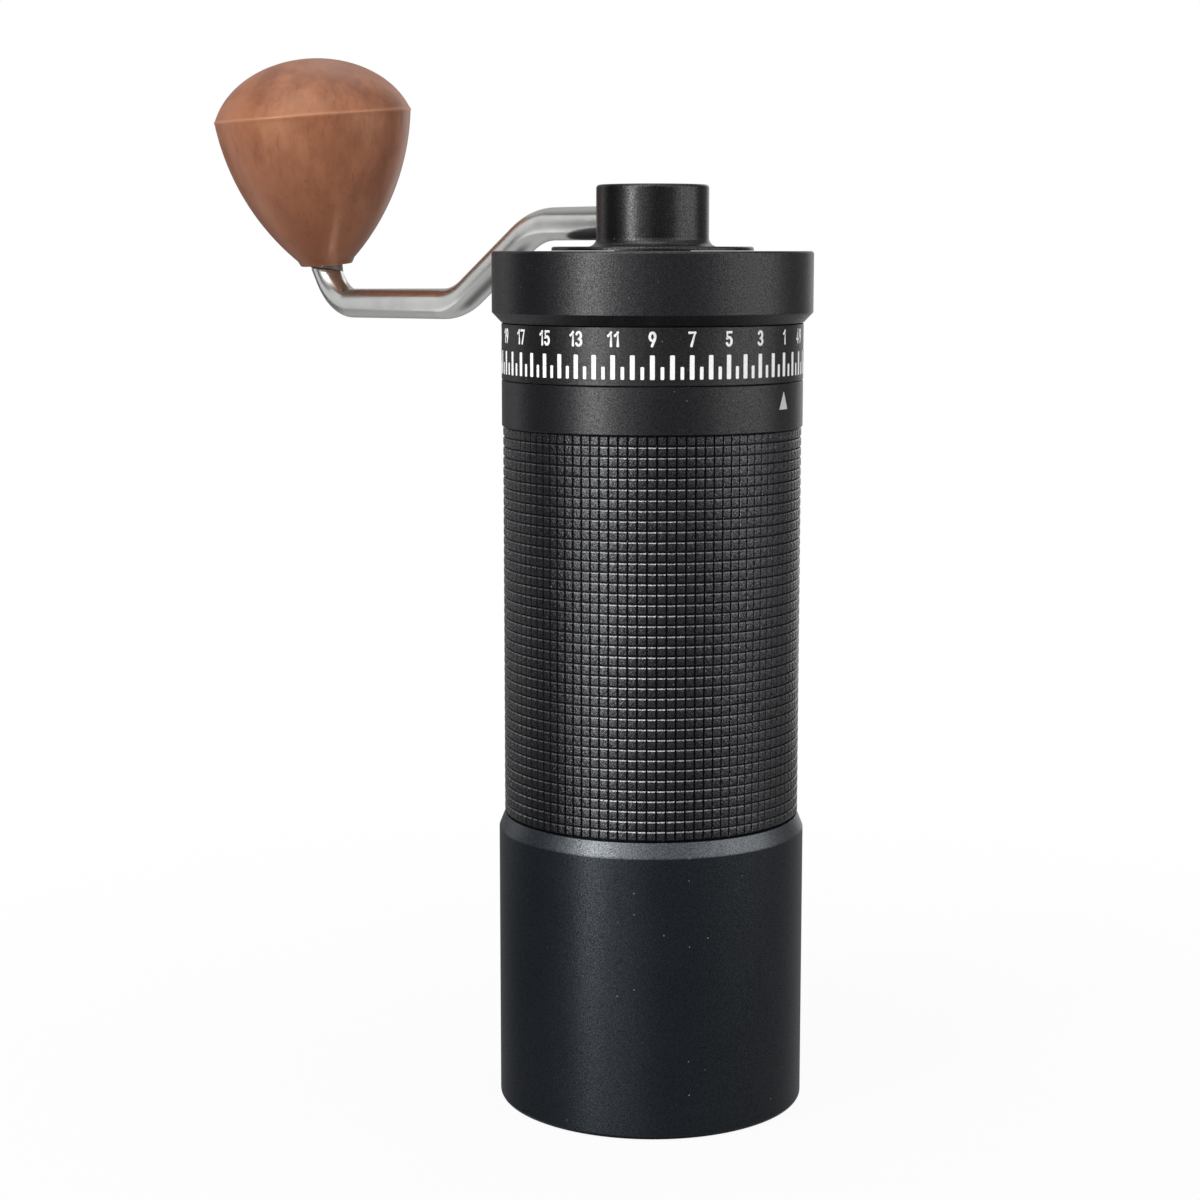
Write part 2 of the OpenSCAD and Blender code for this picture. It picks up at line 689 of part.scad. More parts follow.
module inner_burr() {
    cone_foot_r = ring_foot_r - grind_gap;
    land_r = cone_foot_r - cone_land_h * (ring_foot_r - ring_top_r) / burr_ring_h;
    color([0.62, 0.62, 0.64]) difference() {
        rotate_extrude() polygon([[0, z_cone0], [cone_foot_r, z_cone0], [land_r, z_cone0 + cone_land_h],
            [cone_top_d / 2, z_cone1 - seat_gap], [0, z_cone1 - seat_gap]]);
        translate([0, 0, z_cone0 - 1]) cylinder(r = shaft_r + fit_gap, h = burr_cone_h + 2);
        // slot for the drive pin
        translate([-pin_l / 2 - 1, -pin_r - run_gap, z_pin - pin_r - run_gap])
            cube([pin_l + 2, 2 * (pin_r + run_gap), 5]);
        for (i = [0:cone_teeth - 1]) rotate(i * 360 / cone_teeth)
            cone_groove(cone_foot_r, z_cone0, land_r - 0.6, z_cone0 + 2 * cone_land_h,
                cone_tooth_w, cone_tooth_depth, cone_tooth_lean);
        for (i = [0:cone_flutes - 1]) rotate(i * 360 / cone_flutes)
            cone_groove(land_r + flute_depth / 2, z_cone0 + cone_land_h, cone_top_d / 2, z_cone1 + 1,
                flute_w, flute_depth, flute_lean);
    }
}

module burr_pin() {
    color([0.55, 0.55, 0.57]) translate([-pin_l / 2, 0, z_pin]) rotate([0, 90, 0])
        cylinder(r = pin_r, h = pin_l);
}

module burr_washer() {
    color([0.72, 0.73, 0.75])
        ring(stud_d / 2 + washer_w, stud_d / 2 + fit_gap, z_cone0 - washer_h, z_cone0 - seat_gap);
}

module burr_nut() {
    z_top = z_cone0 - washer_h - seat_gap;
    color([0.72, 0.73, 0.75]) difference() {
        hexagon(nut_af, z_top - nut_h + seat_gap, z_top);
        translate([0, 0, z_top - nut_h - 1]) cylinder(d = stud_d + 2 * fit_gap, h = nut_h + 2);
    }
}

// ---- lid ----

module lid() {
    color([0.16, 0.16, 0.17]) difference() {
        rotate_extrude() {
            polygon([[0, z_lid0], [lid_r - lid_cone_w, z_lid0], [lid_r, z_lid0 + lid_cone_h],
                [lid_r, z_lid1 - lid_round], [0, z_lid1 - lid_round]]);
            translate([0, z_lid1 - 2 * lid_round]) square([lid_r - lid_round, 2 * lid_round]);
            translate([lid_r - lid_round, z_lid1 - lid_round]) circle(r = lid_round);
        }
        translate([0, 0, z_lid0 - cut]) cylinder(r = lid_bore_r, h = z_lid_in - z_lid0 + cut);
        translate([0, 0, z_lid0]) cylinder(r = stem_r + bush_t, h = z_lid1);
    }
}

module lid_bushing() {
    color([0.78, 0.60, 0.32]) difference() {
        union() {
            translate([0, 0, z_bush0]) cylinder(r = bush_flange_r, h = bush_flange_t - seat_gap);
            translate([0, 0, z_bush0])
                cylinder(r = stem_r + bush_t - fit_gap, h = z_lid1 - z_bush0 - seat_gap);
        }
        translate([0, 0, z_bush0 - 1]) cylinder(r = stem_r + run_gap, h = z_lid1);
    }
}

// ---- crank ----

module crank_hub() {
    hub_r = hub_d / 2;
    fillet_z = z_hub0 + flange_t;
    color([0.16, 0.16, 0.17]) difference() {
        union() {
            rounded_disc(flange_d / 2, z_hub0, fillet_z, flange_t * 0.6);
            rounded_disc(hub_r, z_hub0, z_hub1, hub_round);
            rotate_extrude() difference() {
                translate([hub_r - 1, fillet_z - cut]) square([1 + hub_fillet, hub_fillet + cut]);
                translate([hub_r + hub_fillet, fillet_z + hub_fillet]) circle(r = hub_fillet);
            }
            translate([0, 0, z_stem0]) cylinder(r = stem_r, h = z_hub0 - z_stem0 + cut);
        }
        hexagon(socket_af, z_stem0 - 1, socket_top);
        translate([-hub_d, 0, z_arm]) rotate([0, 90, 0])
            cylinder(r = arm_r + fit_gap, h = hub_d - arm_start + cut);
        translate([-screw_x, 0, z_arm]) rotate([-90, 0, 0])
            cylinder(r = screw_r + fit_gap, h = hub_d);
        ring(stem_r + 1, stem_r - hub_ring_depth, z_ring_top - hub_ring_t - seat_gap,
            z_ring_top + seat_gap / 2);
    }
}

// Stations of the bar's centre line, each [along, up, slope]: the bends as arcs, with straight
// runs between them
function heading(a) = [cos(a), sin(a)];
function left_of(a) = [-sin(a), cos(a)];
function bend_stations(corner, a, turn, r, n) =
    let (s = sign(turn), start = corner - r * tan(abs(turn) / 2) * heading(a))
    [for (i = [0:n]) let (b = a + turn * i / n)
        concat(start + s * r * (left_of(a) - left_of(b)), [b])];

module round_bar(stations, r, sides) {
    n = len(stations) - 1;
    points = [for (t = stations, s = [0:sides - 1])
        let (b = 360 * s / sides, p = [t[0], t[1]] + r * cos(b) * left_of(t[2]))
        [p[0], r * sin(b), p[1]]];
    skin = [for (i = [0:n - 1], s = [0:sides - 1])
        let (a = i * sides + s, b = i * sides + (s + 1) % sides)
        [a, b, b + sides, a + sides]];
    polyhedron(points, concat(skin, [[for (s = [sides - 1:-1:0]) s]],
        [[for (s = [0:sides - 1]) n * sides + s]]));
}

module crank_arm() {
    stations = concat(
        [[arm_start, 0, 0]],
        bend_stations([upper_corner, 0], 0, -slope_a, upper_bend, 8),
        bend_stations([lower_corner, -arm_drop], -slope_a, slope_a - slope_b, lower_bend, 8),
        bend_stations([end_corner, -arm_drop - arm_sag], -slope_b, 90 + slope_b, end_bend, 18),
        [[end_corner, arm_end + arm_d, 90]]);
    color([0.80, 0.80, 0.81]) arm_frame() difference() {
        mirror([1, 0, 0]) round_bar(stations, arm_r, 32);
        // the end is faced on a slant under the knob and tapped for its spindle
        translate([-crank_r, 0, arm_end]) rotate([-end_slant, 0, 0])
            translate([-arm_d, -arm_d, 0]) cube(2 * arm_d);
        translate([-crank_r, 0, arm_end - spindle_thread_l - seat_gap])
            cylinder(r = spindle_thread_r + fit_gap, h = spindle_thread_l + 1);
    }
}

module arm_grub_screw() {
    color([0.30, 0.30, 0.32]) translate([-screw_x, arm_r + seat_gap, z_arm]) rotate([-90, 0, 0])
        difference() {
            cylinder(r = screw_r, h = screw_l);
            hexagon(screw_key, screw_l - screw_key_l, screw_l + 1);
        }
}

module hub_washer() {
    color([0.72, 0.73, 0.75])
        ring(bush_flange_r, stem_r + run_gap, z_washer0, z_washer0 + hub_washer_t);
}

module hub_retaining_ring() {
    color([0.35, 0.35, 0.37])
        snap_ring(stem_r + hub_ring_out, stem_r - hub_ring_depth + fit_gap, z_ring_top - hub_ring_t,
            hub_ring_t, 4);
}

module knob_washer() {
    taper = knob_washer_r * tan(end_slant);
    color([0.25, 0.25, 0.26]) knob_frame() difference() {
        ring(knob_washer_r, spindle_d / 2 + run_gap, -washer_gap - taper, -seat_gap);
        // tapered to suit the slanted end of the arm
        translate([0, 0, -washer_gap]) rotate([-end_slant, 0, 0])
            translate([-arm_d, -arm_d, -2 * arm_d]) cube(2 * arm_d);
    }
}

module knob_spindle() {
    groove_z = spindle_l - spindle_groove;
    color([0.75, 0.76, 0.78]) knob_frame() difference() {
        union() {
            translate([0, 0, -spindle_seat])
                cylinder(d = spindle_d, h = spindle_l + spindle_seat);
            translate([0, 0, -washer_gap - seat_gap - spindle_thread_l])
                cylinder(r = spindle_thread_r, h = spindle_thread_l + 1);
        }
        ring(spindle_d / 2 + 1, spindle_d / 2 - spindle_groove_depth,
            groove_z - 2 * seat_gap, groove_z + clip_t + 2 * seat_gap);
    }
}

// ---- knob ----

// Side as an arc from the foot to the ridge, dome as the top of an ellipse
function arc_points(p, q, r, n) =
    let (m = (p + q) / 2, v = q - p, d = norm(v),
        c = m + [-v[1], v[0]] / d * sqrt(r * r - d * d / 4),
        a = atan2(p[1] - c[1], p[0] - c[0]), b = atan2(q[1] - c[1], q[0] - c[0]))
    [for (i = [0:n]) c + r * [cos(a + (b - a) * i / n), sin(a + (b - a) * i / n)]];
function dome_points(r, z0, z1, sink, n) =
    let (h = z1 - z0 + sink, a0 = asin(sink / h), w = r / cos(a0))
    [for (i = [0:n]) let (a = a0 + (90 - a0) * i / n)
        [i == n ? 0 : w * cos(a), z1 - h + h * sin(a)]];

module knob() {
    foot_r = knob_foot_d / 2;
    rim_r = knob_d / 2 - ridge_bevel;
    outline = concat(
        [[0, 0], [foot_r - 0.2, 0]],
        arc_points([foot_r - 0.2 + foot_bevel_w, foot_bevel_h], [rim_r, ridge_h - ridge_flat],
            side_r, 14),
        [[knob_d / 2, ridge_h - ridge_flat / 2]],
        dome_points(rim_r, ridge_h, ridge_h + dome_h, dome_sink, 14));
    color([0.55, 0.34, 0.24]) knob_frame() difference() {
        rotate_extrude() polygon(outline);
        translate([0, 0, -1]) cylinder(d = sleeve_d + 2 * fit_gap, h = sleeve_top + 1.1);
    }
}

module knob_sleeve() {
    groove_z = spindle_l - spindle_groove;
    color([0.78, 0.62, 0.32]) knob_frame() difference() {
        cylinder(d = sleeve_d, h = sleeve_top);
        translate([0, 0, -1]) cylinder(r = spindle_d / 2 + run_gap, h = spindle_l + spindle_room + 1);
        ring(spindle_d / 2 + clip_seat, spindle_d / 2, groove_z - seat_gap,
            groove_z + clip_t + seat_gap);
    }
}

module spindle_clip() {
    color([0.35, 0.35, 0.37]) knob_frame()
        snap_ring(spindle_d / 2 + clip_seat - run_gap, spindle_d / 2 - spindle_groove_depth + run_gap,
            spindle_l - spindle_groove, clip_t, 1.6);
}

catch_cup();
body_tube();
grip_sleeve();
cup_seal();
neck_collar();
lid_seal();
outer_burr();
burr_clamp_ring();
lower_bearing_holder();
lower_bearing_outer();
detent_ball();
detent_spring();
lower_bearing_inner();
lower_bearing_cage();
lower_bearing_balls();
dial_ring();
bearing_carrier();
upper_bearing_outer();
bearing_clip();
upper_bearing_cage();
upper_bearing_balls();
drive_shaft();
upper_bearing_inner();
shaft_clip();
preload_spring();
inner_burr();
burr_pin();
burr_washer();
burr_nut();
lid();
lid_bushing();
crank_hub();
crank_arm();
arm_grub_screw();
hub_washer();
hub_retaining_ring();
knob_spindle();
knob_washer();
knob();
knob_sleeve();
spindle_clip();
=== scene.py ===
import json
import math

import bmesh
import bpy
from mathutils import Matrix, Vector


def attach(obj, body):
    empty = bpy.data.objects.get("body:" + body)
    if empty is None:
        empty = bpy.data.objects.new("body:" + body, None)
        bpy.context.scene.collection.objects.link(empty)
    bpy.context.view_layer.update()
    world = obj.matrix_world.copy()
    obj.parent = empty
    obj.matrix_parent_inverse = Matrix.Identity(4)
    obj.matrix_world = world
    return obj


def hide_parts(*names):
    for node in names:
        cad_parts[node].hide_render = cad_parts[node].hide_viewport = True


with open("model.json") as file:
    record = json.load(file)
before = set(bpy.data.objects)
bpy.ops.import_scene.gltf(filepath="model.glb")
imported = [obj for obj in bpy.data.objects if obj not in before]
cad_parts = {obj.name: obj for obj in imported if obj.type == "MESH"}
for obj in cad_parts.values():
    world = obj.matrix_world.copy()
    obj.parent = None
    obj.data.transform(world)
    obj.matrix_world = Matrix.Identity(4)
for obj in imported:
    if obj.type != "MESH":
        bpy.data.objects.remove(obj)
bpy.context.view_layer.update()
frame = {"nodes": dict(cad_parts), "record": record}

mm = 0.001
nodes = frame["nodes"]


def addObject(name, data):
    thing = bpy.data.objects.new(name, data)
    bpy.context.scene.collection.objects.link(thing)
    return thing


def spread(first, last, steps):
    return [first + (last - first) * i / steps for i in range(steps + 1)]


cameraSettings = {
    "armAngle": 55.1,       # degrees between the crank arm and the camera's left
    "distance": 433.1,      # level distance to the tube's axis, mm
    "sideways": 9.09,       # tube's axis to the right of the middle, mm
    "eyeHeight": 150.3,     # mm
    "pitchDown": 8.009,     # degrees
    "lens": 74.412,         # mm
    "sensor": 36,           # mm
    "nearest": 0.01,        # m
}


def viewDirection(settings):
    turn = math.radians(settings["armAngle"])
    ahead = Vector((-math.sin(turn), math.cos(turn), 0))
    right = Vector((math.cos(turn), math.sin(turn), 0))
    return ahead, right


ahead, toRight = viewDirection(cameraSettings)


def addCamera(settings):
    lens = bpy.data.cameras.new("camera")
    lens.lens = settings["lens"]
    lens.sensor_width = settings["sensor"]
    lens.clip_start = settings["nearest"]
    camera = addObject("camera", lens)
    spot = -ahead * settings["distance"] - toRight * settings["sideways"]
    spot.z = settings["eyeHeight"]
    pitch = math.radians(settings["pitchDown"])
    look = ahead * math.cos(pitch) - Vector((0, 0, math.sin(pitch)))
    up = look.cross(toRight) * -1
    turn = Matrix((toRight, up, -look)).transposed().to_4x4()
    camera.matrix_world = Matrix.Translation(spot * mm) @ turn
    bpy.context.scene.camera = camera


addCamera(cameraSettings)
print("camera placed")


def feed(tree, socket, value):
    if isinstance(value, bpy.types.NodeSocket):
        tree.links.new(value, socket)
    elif socket.type == "RGBA":
        socket.default_value = (*value, 1)
    else:
        socket.default_value = value


# Adds a node: its inputs take plain values or the outputs of other nodes
def put(tree, kind, wires=(), **settings):
    node = tree.nodes.new(kind)
    for label, value in settings.items():
        setattr(node, label, value)
    for label, value in dict(wires).items():
        feed(tree, node.inputs[label], value)
    return node


def calc(tree, operation, first, second=0.0):
    return put(tree, "ShaderNodeMath", {0: first, 1: second}, operation=operation).outputs[0]


def newFinish(name):
    finish = bpy.data.materials.new(name)
    finish.use_nodes = True
    finish.node_tree.nodes.clear()
    return finish, finish.node_tree


def closeFinish(tree, surface):
    shader = put(tree, "ShaderNodeBsdfPrincipled", surface)
    put(tree, "ShaderNodeOutputMaterial", {"Surface": shader.outputs["BSDF"]})


def place(tree, stretch=(1, 1, 1), turn=(0, 0, 0), middle=(0, 0, 0)):
    coords = put(tree, "ShaderNodeTexCoord")
    return put(tree, "ShaderNodeMapping", {
        "Vector": coords.outputs["Object"], "Location": middle, "Rotation": turn,
        "Scale": [1 / s for s in stretch]}, vector_type="TEXTURE").outputs["Vector"]


def heightOf(tree, vector):
    return put(tree, "ShaderNodeSeparateXYZ", {0: vector}).outputs["Z"]


def noise(tree, vector, scale, detail=2.0, rough=0.5):
    return put(tree, "ShaderNodeTexNoise", {
        "Vector": vector, "Scale": scale, "Detail": detail, "Roughness": rough}).outputs["Fac"]


def ramp(tree, value, low, high, toLow=0.0, toHigh=1.0):
    return put(tree, "ShaderNodeMapRange", {
        "Value": value, "From Min": low, "From Max": high, "To Min": toLow,
        "To Max": toHigh}).outputs["Result"]


def blendColour(tree, share, first, second):
    return put(tree, "ShaderNodeMix", {0: share, 6: first, 7: second}, data_type="RGBA").outputs[2]


def blendValue(tree, share, first, second):
    return put(tree, "ShaderNodeMix", {0: share, 2: first, 3: second}).outputs[0]


def bump(tree, height, strength, distance):
    return put(tree, "ShaderNodeBump", {
        "Height": height, "Strength": strength, "Distance": distance}).outputs["Normal"]


noiseReach = (0.3, 0.7)    # most of a noise's values lie between these

# Bead-blasted and dyed aluminium: grains that shine more or less, a slow wander of the dye, and bright
# specks in the base colour that are painted glints
blastSettings = {
    "grainNoise": (3, 0.7),                # detail and roughness
    "grainReach": (0.25, 0.75),
    "roughSpread": 0.05,
    "dyeScale": 90,
    "glintScale": 1000,
    "glintSizes": (0.04, 0.10),            # shares of a cell
    # painted glints: a light grey base colour in a few small spots
    "paintedGlintColour": (0.26, 0.26, 0.27),
    "shineFineness": 1.5,                  # how much finer than the grain the shine varies
    "shineNoise": (2, 0.6),
    "shineReach": (0.34, 0.66),
    "shineShares": (0.35, 1.65),           # of the finish's specular level
    "machinedLevel": 0.78,                 # specular level of a machined bevel
    "machinedBlur": 0.0002,                # m
    "burnishedGrain": 0.3,                 # what burnishing leaves of the grain
}


def anodised(name, colour, wander, roughness=0.36, grain=0.3, specular=0.3, grainScale=3400, paintedGlintShare=0.08,
             brightAbove=None, sheen=(1, 1, 1), grainDepth=0.0001, edgeShine=None):
    s = blastSettings
    finish, tree = newFinish(name)
    vector = place(tree)
    blast = noise(tree, vector, grainScale, *s["grainNoise"])
    rough = ramp(tree, blast, *s["grainReach"], roughness - s["roughSpread"],
                 roughness + s["roughSpread"])
    # painted glints: a few cells of a fine Voronoi get a small light spot in the base colour
    cells = put(tree, "ShaderNodeTexVoronoi", {"Vector": vector, "Scale": s["glintScale"]})
    split = put(tree, "ShaderNodeSeparateColor", {"Color": cells.outputs["Color"]})
    glintCells = calc(tree, "LESS_THAN", split.outputs["Red"], paintedGlintShare)
    size = ramp(tree, split.outputs["Green"], 0, 1, *s["glintSizes"])
    paintedGlint = calc(tree, "MULTIPLY", glintCells, calc(tree, "LESS_THAN", cells.outputs["Distance"], size))
    dye = noise(tree, vector, s["dyeScale"], 3)
    dyed = blendColour(tree, ramp(tree, dye, *noiseReach), colour, wander)
    shine = noise(tree, vector, grainScale * s["shineFineness"], *s["shineNoise"])
    shine = ramp(tree, shine, *s["shineReach"], *(share * specular for share in s["shineShares"]))
    if brightAbove:
        machined = ramp(tree, heightOf(tree, vector), brightAbove - s["machinedBlur"],
                        brightAbove + s["machinedBlur"], 1.0, s["machinedLevel"] / specular)
        shine = calc(tree, "MULTIPLY", shine, machined)
    if edgeShine:
        edge = put(tree, "ShaderNodeAttribute", attribute_name="edge").outputs["Fac"]
        shine = calc(tree, "MULTIPLY", shine, ramp(tree, edge, 0, 1, 1.0, edgeShine))
        blast = calc(tree, "MULTIPLY", blast, ramp(tree, edge, 0, 1, 1.0, s["burnishedGrain"]))
    closeFinish(tree, {
        "Base Color": blendColour(tree, paintedGlint, dyed, s["paintedGlintColour"]), "Roughness": rough,
        "Specular IOR Level": shine, "Specular Tint": sheen,
        "Normal": bump(tree, blast, grain, grainDepth)})
    return finish


# Oiled wood: cloudy figure along the grain, fine drawn-out streaks and pores, and a soft sheen, with a
# painted highlight along the ridge and painted shade towards the foot
woodSettings = {
    "tones": {
        "dark": (0.185, 0.066, 0.036),
        "light": (0.290, 0.112, 0.058),
        "warm": (0.360, 0.146, 0.076),
        "fleck": (0.115, 0.038, 0.020),
        # the ridge tone is a painted highlight
        "ridge": (0.480, 0.230, 0.130),
    },
    "clouds": (85, 0.5, 5, 0.62),          # scale, stretch along the grain, detail and roughness
    "figure": (230, 0.5, 5, 0.7),
    "streaks": (560, 0.25, 4, 0.75),
    "lighter": (0.36, 0.60),               # where in the clouds the wood turns lighter
    "warmer": (0.46, 0.68, 0, 0.6),        # where in the figure it turns warmer, and how far
    "flecked": (0.55, 0.70, 0, 0.45),      # the same for the flecks in the streaks
    "paintedRidgeHighlight": (0.0001, 0.0005, 0.42, 0),    # painted highlight along the ridge: m from it, and how pale
    "paintedFootShade": (0.0, 0.028, 0.70, 0),     # painted shade towards the foot: m above the foot, and how dark
    "roughness": (0.34, 0.44),
    "specular": 0.60,
    "sheen": (1.0, 0.66, 0.44),
    "pores": (0.12, 0.00003),
}


def turnedWood(name, s, turn, middle, ridgeHeight):
    finish, tree = newFinish(name)
    tones = s["tones"]

    def grain(scale, stretch, detail, rough):
        return noise(tree, place(tree, (1, 1, stretch), turn, middle), scale, detail, rough)

    figure, streaks = grain(*s["figure"]), grain(*s["streaks"])
    clouds = grain(*s["clouds"])
    tone = blendColour(tree, ramp(tree, clouds, *s["lighter"]), tones["dark"], tones["light"])
    tone = blendColour(tree, ramp(tree, figure, *s["warmer"]), tone, tones["warm"])
    tone = blendColour(tree, ramp(tree, streaks, *s["flecked"]), tone, tones["fleck"])
    height = heightOf(tree, place(tree, (1, 1, 1), turn, middle))
    # painted highlight: a thin pale band along the ridge
    away = calc(tree, "ABSOLUTE", calc(tree, "SUBTRACT", height, ridgeHeight * mm))
    tone = blendColour(tree, ramp(tree, away, *s["paintedRidgeHighlight"]), tone, tones["ridge"])
    # painted shade: the wood darkens towards the foot
    tone = blendColour(tree, ramp(tree, height, *s["paintedFootShade"]), tone, tones["fleck"])
    closeFinish(tree, {
        "Base Color": tone, "Roughness": ramp(tree, figure, *noiseReach, *s["roughness"]),
        "Specular IOR Level": s["specular"], "Specular Tint": s["sheen"],
        "Normal": bump(tree, streaks, *s["pores"])})
    return finish


# Bare metal: turning or drawing marks along one axis, and slow smudges in the polish
metalSettings = {
    "markNoise": (3, 0.6), "markRoughness": (-0.02, 0.03), "markDepth": 0.00001,
    "smudgeNoise": (140, 3, 0.6), "smudgeRoughness": (-0.03, 0.05), "smudgeShade": 0.93,
}


def bareMetal(name, colour, roughness, marks=0.2, stretch=(1, 1, 1), markScale=2500):
    s = metalSettings
    finish, tree = newFinish(name)
    lines = noise(tree, place(tree, stretch), markScale, *s["markNoise"])
    smudge = noise(tree, place(tree), *s["smudgeNoise"])
    shade = [c * s["smudgeShade"] for c in colour]
    worn = calc(tree, "ADD", ramp(tree, smudge, *noiseReach, *s["smudgeRoughness"]),
                ramp(tree, lines, *noiseReach, *s["markRoughness"]))
    closeFinish(tree, {
        "Metallic": 1.0, "Base Color": blendColour(tree, ramp(tree, smudge, *noiseReach), colour, shade),
        "Roughness": calc(tree, "ADD", worn, roughness),
        "Normal": bump(tree, lines, marks, s["markDepth"])})
    return finish


# Rubber, nylon and paint: a matte skin with a little unevenness
skinSettings = {"noise": (3, 0.6), "shade": 0.85, "roughSpread": 0.06, "depth": 0.00002}


def mattePlain(name, colour, roughness=0.6, unevenness=0.15, scale=1500):
    s = skinSettings
    finish, tree = newFinish(name)
    skin = noise(tree, place(tree), scale, *s["noise"])
    shade = [c * s["shade"] for c in colour]
    closeFinish(tree, {
        "Base Color": blendColour(tree, ramp(tree, skin, *noiseReach), colour, shade),
        "Roughness": ramp(tree, skin, *noiseReach, roughness - s["roughSpread"],
                          roughness + s["roughSpread"]),
        "Normal": bump(tree, skin, unevenness, s["depth"])})
    return finish


knobPlace = {
    "boreHeight": 155.2,   # height of the arm's bore, mm
    "roll": 5.1,           # turn of the arm about its bore, degrees
    "crankRadius": 118.1,
    "drop": 7.8,           # from the bore to the knob's underside
    "ridgeHeight": 31.0,   # from the knob's underside
}
armTurn = Matrix.Translation((0, 0, knobPlace["boreHeight"])) @ Matrix.Rotation(
    math.radians(knobPlace["roll"]), 4, "X")
knobTurn = armTurn @ Matrix.Translation((-knobPlace["crankRadius"], 0, -knobPlace["drop"]))
knobMiddle = [c * mm for c in knobTurn.translation]

finishes = {
    "cup_black": anodised(
        "cupBlack", (0.004, 0.0055, 0.0078), (0.0055, 0.0072, 0.0098), 0.36, 0.25,
        brightAbove=0.0492, sheen=(0.88, 0.94, 1)),
    "body_black": anodised(
        "bodyBlack", (0.0052, 0.0053, 0.0068), (0.0070, 0.0071, 0.0085), 0.34, 0.3),
    "grip_black": anodised(
        "gripBlack", (0.0045, 0.0045, 0.0052), (0.0075, 0.0075, 0.0085), 0.28, 0.8, 0.46, 2400, 0.05,
        sheen=(0.93, 0.94, 1), grainDepth=0.00013, edgeShine=4.8),
    "dial_black": anodised("dialBlack", (0.006, 0.006, 0.007), (0.008, 0.008, 0.0085), 0.36, 0.25),
    "crank_black": anodised("crankBlack", (0.004, 0.004, 0.005), (0.006, 0.006, 0.0065), 0.27, 0.2, 0.3),
    "rod_steel": bareMetal("rodSteel", (0.80, 0.80, 0.785), 0.19, 0.01, (1, 3, 3), 900),
    "knob_wood": turnedWood("knobWood", woodSettings, (math.radians(knobPlace["roll"]), 0, 0), knobMiddle,
                            knobPlace["ridgeHeight"]),
    "burr_steel": bareMetal("burrSteel", (0.52, 0.52, 0.54), 0.32, 0.3),
    "holder_alloy": bareMetal("holderAlloy", (0.66, 0.67, 0.69), 0.38, 0.3, (1, 1, 6)),
    "bearing_steel": bareMetal("bearingSteel", (0.70, 0.70, 0.72), 0.2, 0.1, (1, 1, 6)),
    "cage_brass": bareMetal("cageBrass", (0.72, 0.52, 0.24), 0.3, 0.2),
    "shaft_steel": bareMetal("shaftSteel", (0.68, 0.68, 0.70), 0.24, 0.15, (1, 1, 8)),
    "spring_steel": bareMetal("springSteel", (0.56, 0.56, 0.58), 0.28, 0.1),
    "clip_steel": bareMetal("clipSteel", (0.10, 0.10, 0.11), 0.36, 0.2),
    "bush_brass": bareMetal("bushBrass", (0.74, 0.54, 0.25), 0.3, 0.2, (1, 1, 6)),
    "seal_rubber": mattePlain("sealRubber", (0.022, 0.022, 0.022), 0.55),
    # the washer's dark brown-grey is its own colour with a painted reflection of the wood knob in it
    "washer_plastic": mattePlain("washerNylonAndWoodReflection", (0.085, 0.068, 0.058), 0.5),
}
# painted shade: the floor between the grip's pads is darker and duller than the pads, for the shade in
# the grooves
paintedGrooveShade = anodised(
    "paintedGrooveShade", (0.0015, 0.0015, 0.0017), (0.0025, 0.0025, 0.0028), 0.5, specular=0.10)
scalePaint = mattePlain("scaleWhite", (0.92, 0.92, 0.91), 0.5, 0.1, 2600)
markSilver = mattePlain("markSilver", (0.56, 0.56, 0.55), 0.45, 0.4, 3200)

for part in frame["record"]["subparts"]:
    shown = nodes[part["node"]]
    shown.data.materials.clear()
    shown.data.materials.append(finishes[part["material_slot"]])
print("finishes made:", len(finishes))


# Outline corners are (radius, height, rounding) in mm, anticlockwise with the material on the left.
# Each point that comes back is (radius, height, outward normal).
def roundedOutline(corners, closed, steps=5):
    outline = []
    count = len(corners)
    for i, (r, z, rounding) in enumerate(corners):
        point = Vector((r, z))
        before = Vector(corners[i - 1][:2]) if closed or i > 0 else None
        after = Vector(corners[(i + 1) % count][:2]) if closed or i < count - 1 else None
        if before is None or after is None:
            run = (after - point) if before is None else (point - before)
            run.normalize()
            outline.append((r, z, run.y, -run.x))
            continue
        come, go = (point - before).normalized(), (after - point).normalized()
        turn = math.atan2(come.x * go.y - come.y * go.x, come.dot(go))
        side = 1 if turn > 0 else -1
        start = point - come * rounding * math.tan(abs(turn) / 2)
        centre = start + Vector((-come.y, come.x)) * side * rounding
        first = math.atan2(come.y, come.x)
        for k in range(steps + 1):
            angle = first + turn * k / steps
            along = Vector((math.cos(angle), math.sin(angle)))
            spot = centre - Vector((-along.y, along.x)) * side * rounding
            outline.append((spot.x, spot.y, along.y, -along.x))
    return outline


def smoothOutline(points):
    outline = []
    for i, (r, z) in enumerate(points):
        back = Vector(points[max(i - 1, 0)])
        on = Vector(points[min(i + 1, len(points) - 1)])
        run = (on - back).normalized()
        outline.append((r, z, run.y, -run.x))
    return outline


onAxis = 1e-6    # a point closer than this to the axis is one vertex, not a ring


